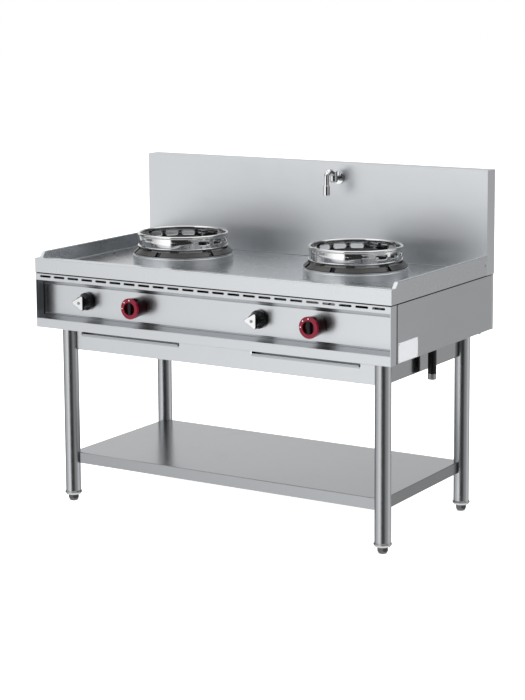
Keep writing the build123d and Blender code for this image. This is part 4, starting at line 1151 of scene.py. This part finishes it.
@dataclass
class Burners:
    """Collars, supports, wok rings and what burns below them."""

    chrome: Finish = Polished("ring_chrome", roughness=0.045, warmth=0.0)
    head_iron: Finish = CastIron("head_iron", level=0.03)
    bowl: Finish = BrushedSheet("bowl_sheet", level=0.13, roughness=0.45, contrast=0.08)
    alloy: Finish = TurnedMetal("cast_alloy", (0.42, 0.42, 0.43, 1.0), roughness=0.42)
    brass: Finish = TurnedMetal("turned_brass")
    collar_level: float = 0.85
    iron_level: float = 0.09
    # reach of the painted shade past each notch's sides and head, in mm
    notch_shade_spread: tuple[float, float] = (0.4, 0.3)
    notch_half: float = 8.0
    notch_head: float = 12.8
    notch_round: float = 7.7
    notch_start: float = 127.0
    notch_end: float = 177.0
    notch_angles: tuple[float, ...] = (-43.0, 2.5, 69.0, 137.0, 182.5, 249.0)
    wall_foot: float = 3.7
    wall_head: float = 34.9
    foot_push: float = 0.123
    head_push: float = 0.23
    vent_count: int = 5
    vent_first: float = 27.0
    vent_step: float = 22.6
    vent_length: float = 46.0
    vent_height: float = 17.0
    vent_reach: float = 144.2
    vent_rise: float = 21.5
    rim_radius: float = 1.9

    def build(self) -> None:
        """Dress both burners and roll the vents' rims."""
        for side, x in BURNER_X.items():
            dress(SpunCollar("spun_collar_" + side, x, self.collar_level), "burner_collar_" + side)
            self._cast_support(side, x)
            self._chromed_ring(side, x)
            dress(self.bowl, "burner_bowl_" + side)
            dress(self.head_iron, "burner_head_" + side)
            dress(self.alloy, "venturi_" + side, "pilot_burner_" + side)
        dress(self.brass, "injectors")
        dress(self.alloy, "thermocouples")
        self._vent_rims()

    def _cast_support(self, side: str, x: float) -> None:
        """Cut the arched air notches right through a pan support, and soften its edges.

        Args:
            side: which burner.
            x: the burner's axis in the frame.
        """
        node = "pan_support_" + side
        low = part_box(node)[0][2]
        axis, half, head = Vector((x, BURNER_Y, low)), self.notch_half, self.notch_head
        outline = box_outline(-half, -head, half, head, self.notch_round)
        cutters = bmesh.new()
        for angle in self.notch_angles:
            turn = math.radians(angle)
            outward = Vector((math.sin(turn), -math.cos(turn), 0.0))
            along = Vector((math.cos(turn), math.sin(turn), 0.0))

            def place(u: float, v: float, w: float) -> Vector:
                """A notch's own directions: sideways, up and outward."""
                return axis + (along * u + outward * w) * MM + Vector((0.0, 0.0, v * MM))

            slab(cutters, outline, place, self.notch_start, self.notch_end, edge=0.1)
        bmesh.ops.recalc_face_normals(cutters, faces=cutters.faces)
        cutter = from_bmesh("notch_cutters", cutters)
        piece = merged_copy(node, "cast_support_" + side)
        cut = piece.modifiers.new("notches", "BOOLEAN")
        cut.operation = "DIFFERENCE"
        cut.solver = "EXACT"
        cut.object = cutter
        settle(piece, cut)
        bpy.data.objects.remove(cutter)
        # painted shade: black painted inside the notches, a little past their edges
        sideways, upward = self.notch_shade_spread
        top = low + (head + upward) * MM
        angles = self.notch_angles[: len(self.notch_angles) // 2]
        iron = NotchedIron("cast_iron_" + side, self.iron_level, x, top, half + sideways, angles)
        dress(iron, node)
        stand_in(piece, iron, node + "_body", node)

    def _chromed_ring(self, side: str, x: float) -> None:
        """Draw a wok ring's wall upright between its rolled edges, as the photograph shows it.

        Args:
            side: which burner.
            x: the burner's axis in the frame.
        """
        node = "wok_ring_" + side
        dress(self.chrome, node)
        piece = merged_copy(node, "chromed_ring_" + side)
        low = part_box(node)[0][2]
        for point in piece.data.vertices:
            height = (point.co.z - low) / MM
            over_foot = self.foot_push * (height - self.wall_foot)
            under_head = self.head_push * (self.wall_head - height)
            push = max(0.0, min(over_foot, under_head)) * MM
            reach = math.hypot(point.co.x - x, point.co.y - BURNER_Y)
            point.co.x += (point.co.x - x) / reach * push
            point.co.y += (point.co.y - BURNER_Y) / reach * push
        stand_in(piece, self.chrome, node + "_body", node)

    def _vent_rims(self) -> None:
        """Roll a rounded rim round each oblong vent of the wok rings."""
        sizes = {"Length": self.vent_length, "Height": self.vent_height, "Reach": self.vent_reach}
        inputs = {key: size * MM for key, size in (sizes | {"Tube": self.rim_radius}).items()}
        angles = {"First": math.radians(self.vent_first), "Step": math.radians(self.vent_step)}
        maker = ShapeMaker("vent_rims", inputs | angles | {"Count": self.vent_count})
        values = {"Width": maker.given("Length"), "Height": maker.given("Height")}
        line = maker.shape("GeometryNodeCurvePrimitiveQuadrilateral", values)
        values = {"Curve": line, "Radius": maker.given("Height") * 0.499, "Count": 12}
        line = maker.shape("GeometryNodeFilletCurve", values, {"mode": "POLY"})
        line = maker.shape("GeometryNodeResampleCurve", {"Curve": line, "Count": 72}, {"mode": "COUNT"})
        across, upward, _ = maker.position()
        reach = maker.given("Reach")
        wrapped = maker.vector(across, (reach * reach - across * across).root(), upward)
        line = maker.shape("GeometryNodeSetPosition", {"Geometry": line, "Position": wrapped})
        rim = maker.tube(line, maker.given("Tube"), sides=10)
        index = Field(maker, maker.shape("GeometryNodeInputIndex", {}))
        rows = []
        for sign in (1.0, -1.0):
            values = {"Count": maker.given("Count"), "Offset": (0.0, 0.0, 0.0)}
            row = maker.shape("GeometryNodeMeshLine", values)
            angle = (index * maker.given("Step") + maker.given("First")) * sign
            values = {"Points": row, "Instance": rim, "Rotation": maker.vector(0.0, 0.0, angle)}
            rows.append(maker.shape("GeometryNodeInstanceOnPoints", values))
        maker.close(maker.shape("GeometryNodeJoinGeometry", {0: rows}), self.chrome)
        for side, x in BURNER_X.items():
            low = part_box("wok_ring_" + side)[0][2]
            move = Vector((x, BURNER_Y, low + self.vent_rise * MM))
            maker.piece("vent_rims_" + side, f"wok_ring_{side}_body", "chromed_ring", move)


@dataclass
class Controls:
    """Knobs, spindles, valves and gas pipes."""

    black: Finish = GlossyPlastic("black_plastic", (0.005, 0.005, 0.006, 1.0), roughness=0.12, coat=0.2)
    # painted shade: a dull black strip laid on each red knob's grip bar
    inlay: Finish = GlossyPlastic(
        "inlay_plastic", (0.006, 0.008, 0.009, 1.0), roughness=0.35, specular=0.2, coat=0.0
    )
    brass: Finish = TurnedMetal("valve_brass")
    pipe: Finish = PaintedPipe("gas_pipe", at(0, 0, 502).z)
    bare: Finish = Polished("bare_steel", level=0.45, roughness=0.3)
    face: Finish = Polished("knob_face", level=0.9, roughness=0.22)
    centre: Finish = Polished("knob_centre", level=0.35, roughness=0.3)
    red_shift: float = 52.0
    black_shift: float = -151.0
    axis_height: float = 680.0
    grip_shade_half: tuple[float, float] = (4.6, 19.0)
    grip_front: float = -6.0
    face_corner: float = 25.5
    face_round: float = 4.0
    hub_radius: float = 5.2
    cap_radius: float = 3.0
    gas_thread: ThreadSize = ThreadSize((606.0, 352.0, 484.8), radius=13.1, rise=16.0)

    def build(self) -> None:
        """Dress the controls and the gas line, and add the knobs' trim."""
        for side, x in BURNER_X.items():
            red_x, black_x = x / MM + self.red_shift, x / MM + self.black_shift
            red = DottedKnob("red_plastic_" + side, centre=(red_x, self.axis_height))
            dress(red, "burner_knob_" + side)
            dress(self.black, "pilot_knob_" + side)
            for part in ("burner_spindle_", "pilot_spindle_", "burner_valve_", "pilot_valve_"):
                dress(self.brass, part + side)
            self._grip_inlay(side, red_x)
            self._face_plate(side, black_x)
        dress(self.pipe, "gas_manifold", "gas_inlet_pipe")
        thread(self.gas_thread, "gas_inlet_thread", "black_pipe", self.bare)

    def _grip_inlay(self, side: str, x: float) -> None:
        """Lay a black strip on a red knob's grip bar as painted shade.

        Args:
            side: which burner.
            x: the knob's axis, in millimetres from the middle.
        """
        half_u, half_v = self.grip_shade_half
        front, height = self.grip_front, self.axis_height
        outline = box_outline(x - half_u, -half_v, x + half_u, half_v, radius=2.5)
        build = bmesh.new()
        slab(build, outline, lambda u, v, w: at(u, front - w, height + v), low=-0.3, high=1.3, edge=0.8)
        mesh_piece("grip_inlay_" + side, build, self.inlay, "burner_control_" + side)

    def _face_plate(self, side: str, x: float) -> None:
        """Put the bright three-cornered plate and its round centre on a black knob.

        Args:
            side: which burner.
            x: the knob's axis, in millimetres from the middle.
        """
        height = self.axis_height

        def place(u: float, v: float, w: float) -> Vector:
            """Front of the knob."""
            return at(x + u, -w, height + v)

        reach = self.face_corner + self.face_round
        turns = [math.radians(180.0 + 120.0 * k) for k in range(3)]
        corners = [(reach * math.cos(turn), reach * math.sin(turn)) for turn in turns]
        build = bmesh.new()
        slab(build, rounded(corners, self.face_round), place, low=-0.2, high=1.0, edge=0.6)
        mesh_piece("knob_face_" + side, build, self.face, "pilot_button_" + side)
        build = bmesh.new()
        slab(build, circle(self.hub_radius), place, low=0.8, high=1.9, edge=0.5)
        slab(build, circle(self.cap_radius, steps=24), place, low=1.7, high=2.6, edge=0.6)
        mesh_piece("knob_centre_" + side, build, self.centre, "pilot_button_" + side)


@dataclass
class WallTap:
    """Tap body, swivelling spout and outlet."""

    chrome: Finish = Polished("tap_chrome", level=0.86)
    hose: Finish = BrushedSheet("water_pipe_steel", Grain.UPRIGHT, level=0.5, contrast=0.08)
    water_thread: ThreadSize = ThreadSize((114.0, 672.0, 560.8), radius=10.3, rise=13.0)
    screen_place: tuple[float, float, float] = (114.0, 562.0, 1004.5)
    screen_side: float = 18.4
    screen_reach: float = 9.3
    screen_wires: int = 13
    wire_radius: float = 0.25

    def build(self) -> None:
        """Dress the tap and add its screen and thread."""
        dress(self.chrome, "faucet_body", "faucet_spout", "faucet_aerator")
        dress(self.hose, "water_pipe")
        thread(self.water_thread, "water_inlet_thread", "polished_tube", self.hose)
        self._screen()

    def _screen(self) -> None:
        """Weave the wire screen in the aerator's mouth."""
        sizes = {"Across": self.screen_side, "Reach": self.screen_reach, "Wire": self.wire_radius}
        inputs = {key: size * MM for key, size in sizes.items()}
        maker = ShapeMaker("aerator_screen", inputs | {"Wires": self.screen_wires})
        across, wires = maker.given("Across"), maker.given("Wires")
        values = {"Size X": across, "Size Y": across, "Vertices X": wires, "Vertices Y": wires}
        grid = maker.shape("GeometryNodeMeshGrid", values)
        x, y, _ = maker.position()
        values = {"Geometry": grid, "Selection": length(x, y).above(maker.given("Reach"))}
        grid = maker.shape("GeometryNodeDeleteGeometry", values, {"domain": "POINT"})
        lines = maker.shape("GeometryNodeMeshToCurve", {0: grid})
        maker.close(maker.tube(lines, maker.given("Wire"), sides=6), self.chrome)
        maker.piece("aerator_screen", "spout", "polished_tap", at(*self.screen_place))


# ------------------------------------------------------------------ studio
@dataclass(frozen=True)
class SoftBox:
    """A wide lamp, in metres and watts."""

    name: str
    place: tuple[float, float, float]
    target: tuple[float, float, float]
    width: float
    height: float
    power: float

    def hang(self) -> None:
        """Hang the lamp in its place, where no gloss shows it."""
        lamp = bpy.data.lights.new(self.name, "AREA")
        lamp.shape = "RECTANGLE"
        lamp.size = self.width
        lamp.size_y = self.height
        lamp.energy = self.power
        holder = in_scene(self.name, lamp)
        aim = (Vector(self.target) - Vector(self.place)).to_track_quat("-Z", "Y")
        holder.matrix_world = Matrix.Translation(self.place) @ aim.to_matrix().to_4x4()
        holder.visible_glossy = False


@dataclass
class Studio:
    """Floor, light and camera."""

    floor_size: float = 60.0
    sky_strength: float = 1.5
    focal: float = 96.69
    camera_place: tuple[float, float, float] = (3.1386, -5.070, 1.6966)
    yaw: float = 31.749
    pitch: float = 8.155
    roll: float = -0.358
    shift: float = -0.1429
    lamps: tuple[SoftBox, ...] = (
        SoftBox("soft_box_left", (-3.4, -4.4, 3.4), (-0.2, 0.0, 0.7), 3.4, 2.6, 45.0),
        SoftBox("soft_box_top", (0.3, -0.4, 4.6), (0.0, 0.0, 0.8), 5.0, 4.0, 60.0),
        SoftBox("soft_box_right", (4.6, 2.0, 2.8), (0.3, 0.0, 0.7), 2.6, 2.6, 18.0),
    )
    # brightness of the walls, by degrees round from the camera toward the picture's right
    bands: tuple[tuple[float, float], ...] = (
        (-180, 0.6), (-142, 0.6), (-134, 0.05), (-118, 0.05), (-111, 0.48), (-76, 0.5),
        (-58, 0.82), (-33, 0.95), (-28, 0.02), (22, 0.02), (32, 0.26), (74, 0.28),
        (82, 0.68), (106, 0.58), (114, 0.28), (146, 0.3), (180, 0.6),
    )

    def build(self) -> None:
        """Set up the studio."""
        self._floor()
        self._sky()
        for lamp in self.lamps:
            lamp.hang()
        self._camera()

    def _floor(self) -> None:
        """Lay the pale floor."""
        half = self.floor_size / 2.0
        build = bmesh.new()
        corners = ((-half, -half), (half, -half), (half, half), (-half, half))
        build.faces.new([build.verts.new((x, y, 0.0)) for x, y in corners])
        floor = from_bmesh("studio_floor", build)
        floor.data.materials.append(PaperFloor("studio_floor").material())
        floor.visible_glossy = False

    def _sky(self) -> None:
        """Bright walls and dark gaps round the range, and plain white behind it."""
        world = bpy.data.worlds.new("studio")
        bpy.context.scene.world = world
        world.use_nodes = True
        maker = NodeWriter(world.node_tree)
        maker.tree.nodes.clear()
        x, y, z = maker.split(maker.node("ShaderNodeTexCoord").outputs["Generated"])
        yaw = math.radians(self.yaw)
        toward = x * math.sin(yaw) - y * math.cos(yaw)
        beside = x * math.cos(yaw) + y * math.sin(yaw)
        turn = beside.angle(toward) * (0.5 / math.pi) + 0.5
        stops = [(angle / 360.0 + 0.5, grey(level)) for angle, level in self.bands]
        colour = maker.node("ShaderNodeValToRGB", {"stops": stops}, {0: turn}).outputs[0]
        colour = maker.mixed(z.ramp(0.2, 0.4) * 0.25, colour, grey(0.0))
        colour = maker.mixed(abs(z).ramp(0.55, 0.85), colour, grey(0.9))
        colour = maker.mixed(z.ramp(0.88, 0.99) * 0.5, colour, grey(0.0))
        light = maker.node("ShaderNodeBackground", values={"Color": colour, "Strength": self.sky_strength})
        white = maker.node("ShaderNodeBackground", values={"Color": grey(1.0), "Strength": 1.0})
        ray = maker.node("ShaderNodeLightPath").outputs["Is Camera Ray"]
        mix = maker.node("ShaderNodeMixShader", values={0: ray, 1: light.outputs[0], 2: white.outputs[0]})
        maker.node("ShaderNodeOutputWorld", values={"Surface": mix.outputs[0]})

    def _camera(self) -> None:
        """Stand the camera where the photograph was taken."""
        yaw, pitch, roll = (math.radians(angle) for angle in (self.yaw, self.pitch, self.roll))
        level = math.cos(pitch)
        forward = Vector((-math.sin(yaw) * level, math.cos(yaw) * level, -math.sin(pitch)))
        right = Vector((math.cos(yaw), math.sin(yaw), 0.0))
        up = right.cross(forward)
        tilted_right = math.cos(roll) * right + math.sin(roll) * up
        tilted_up = -math.sin(roll) * right + math.cos(roll) * up
        turn = Matrix((tilted_right, tilted_up, -forward)).transposed().to_4x4()
        lens = bpy.data.cameras.new("photo_camera")
        lens.lens = self.focal
        lens.sensor_width = 36.0
        lens.shift_y = self.shift
        lens.clip_end = 200.0
        camera = in_scene("photo_camera", lens)
        camera.matrix_world = Matrix.Translation(self.camera_place) @ turn
        bpy.context.scene.camera = camera
        bpy.context.scene.view_settings.view_transform = "Standard"


def main() -> None:
    """Build and dress every sub-assembly, then the studio."""
    for assembly in (Bodywork(), Stand(), Burners(), Controls(), WallTap(), Studio()):
        log.info("building %s", type(assembly).__name__)
        assembly.build()


if __name__ == "__main__":
    main()
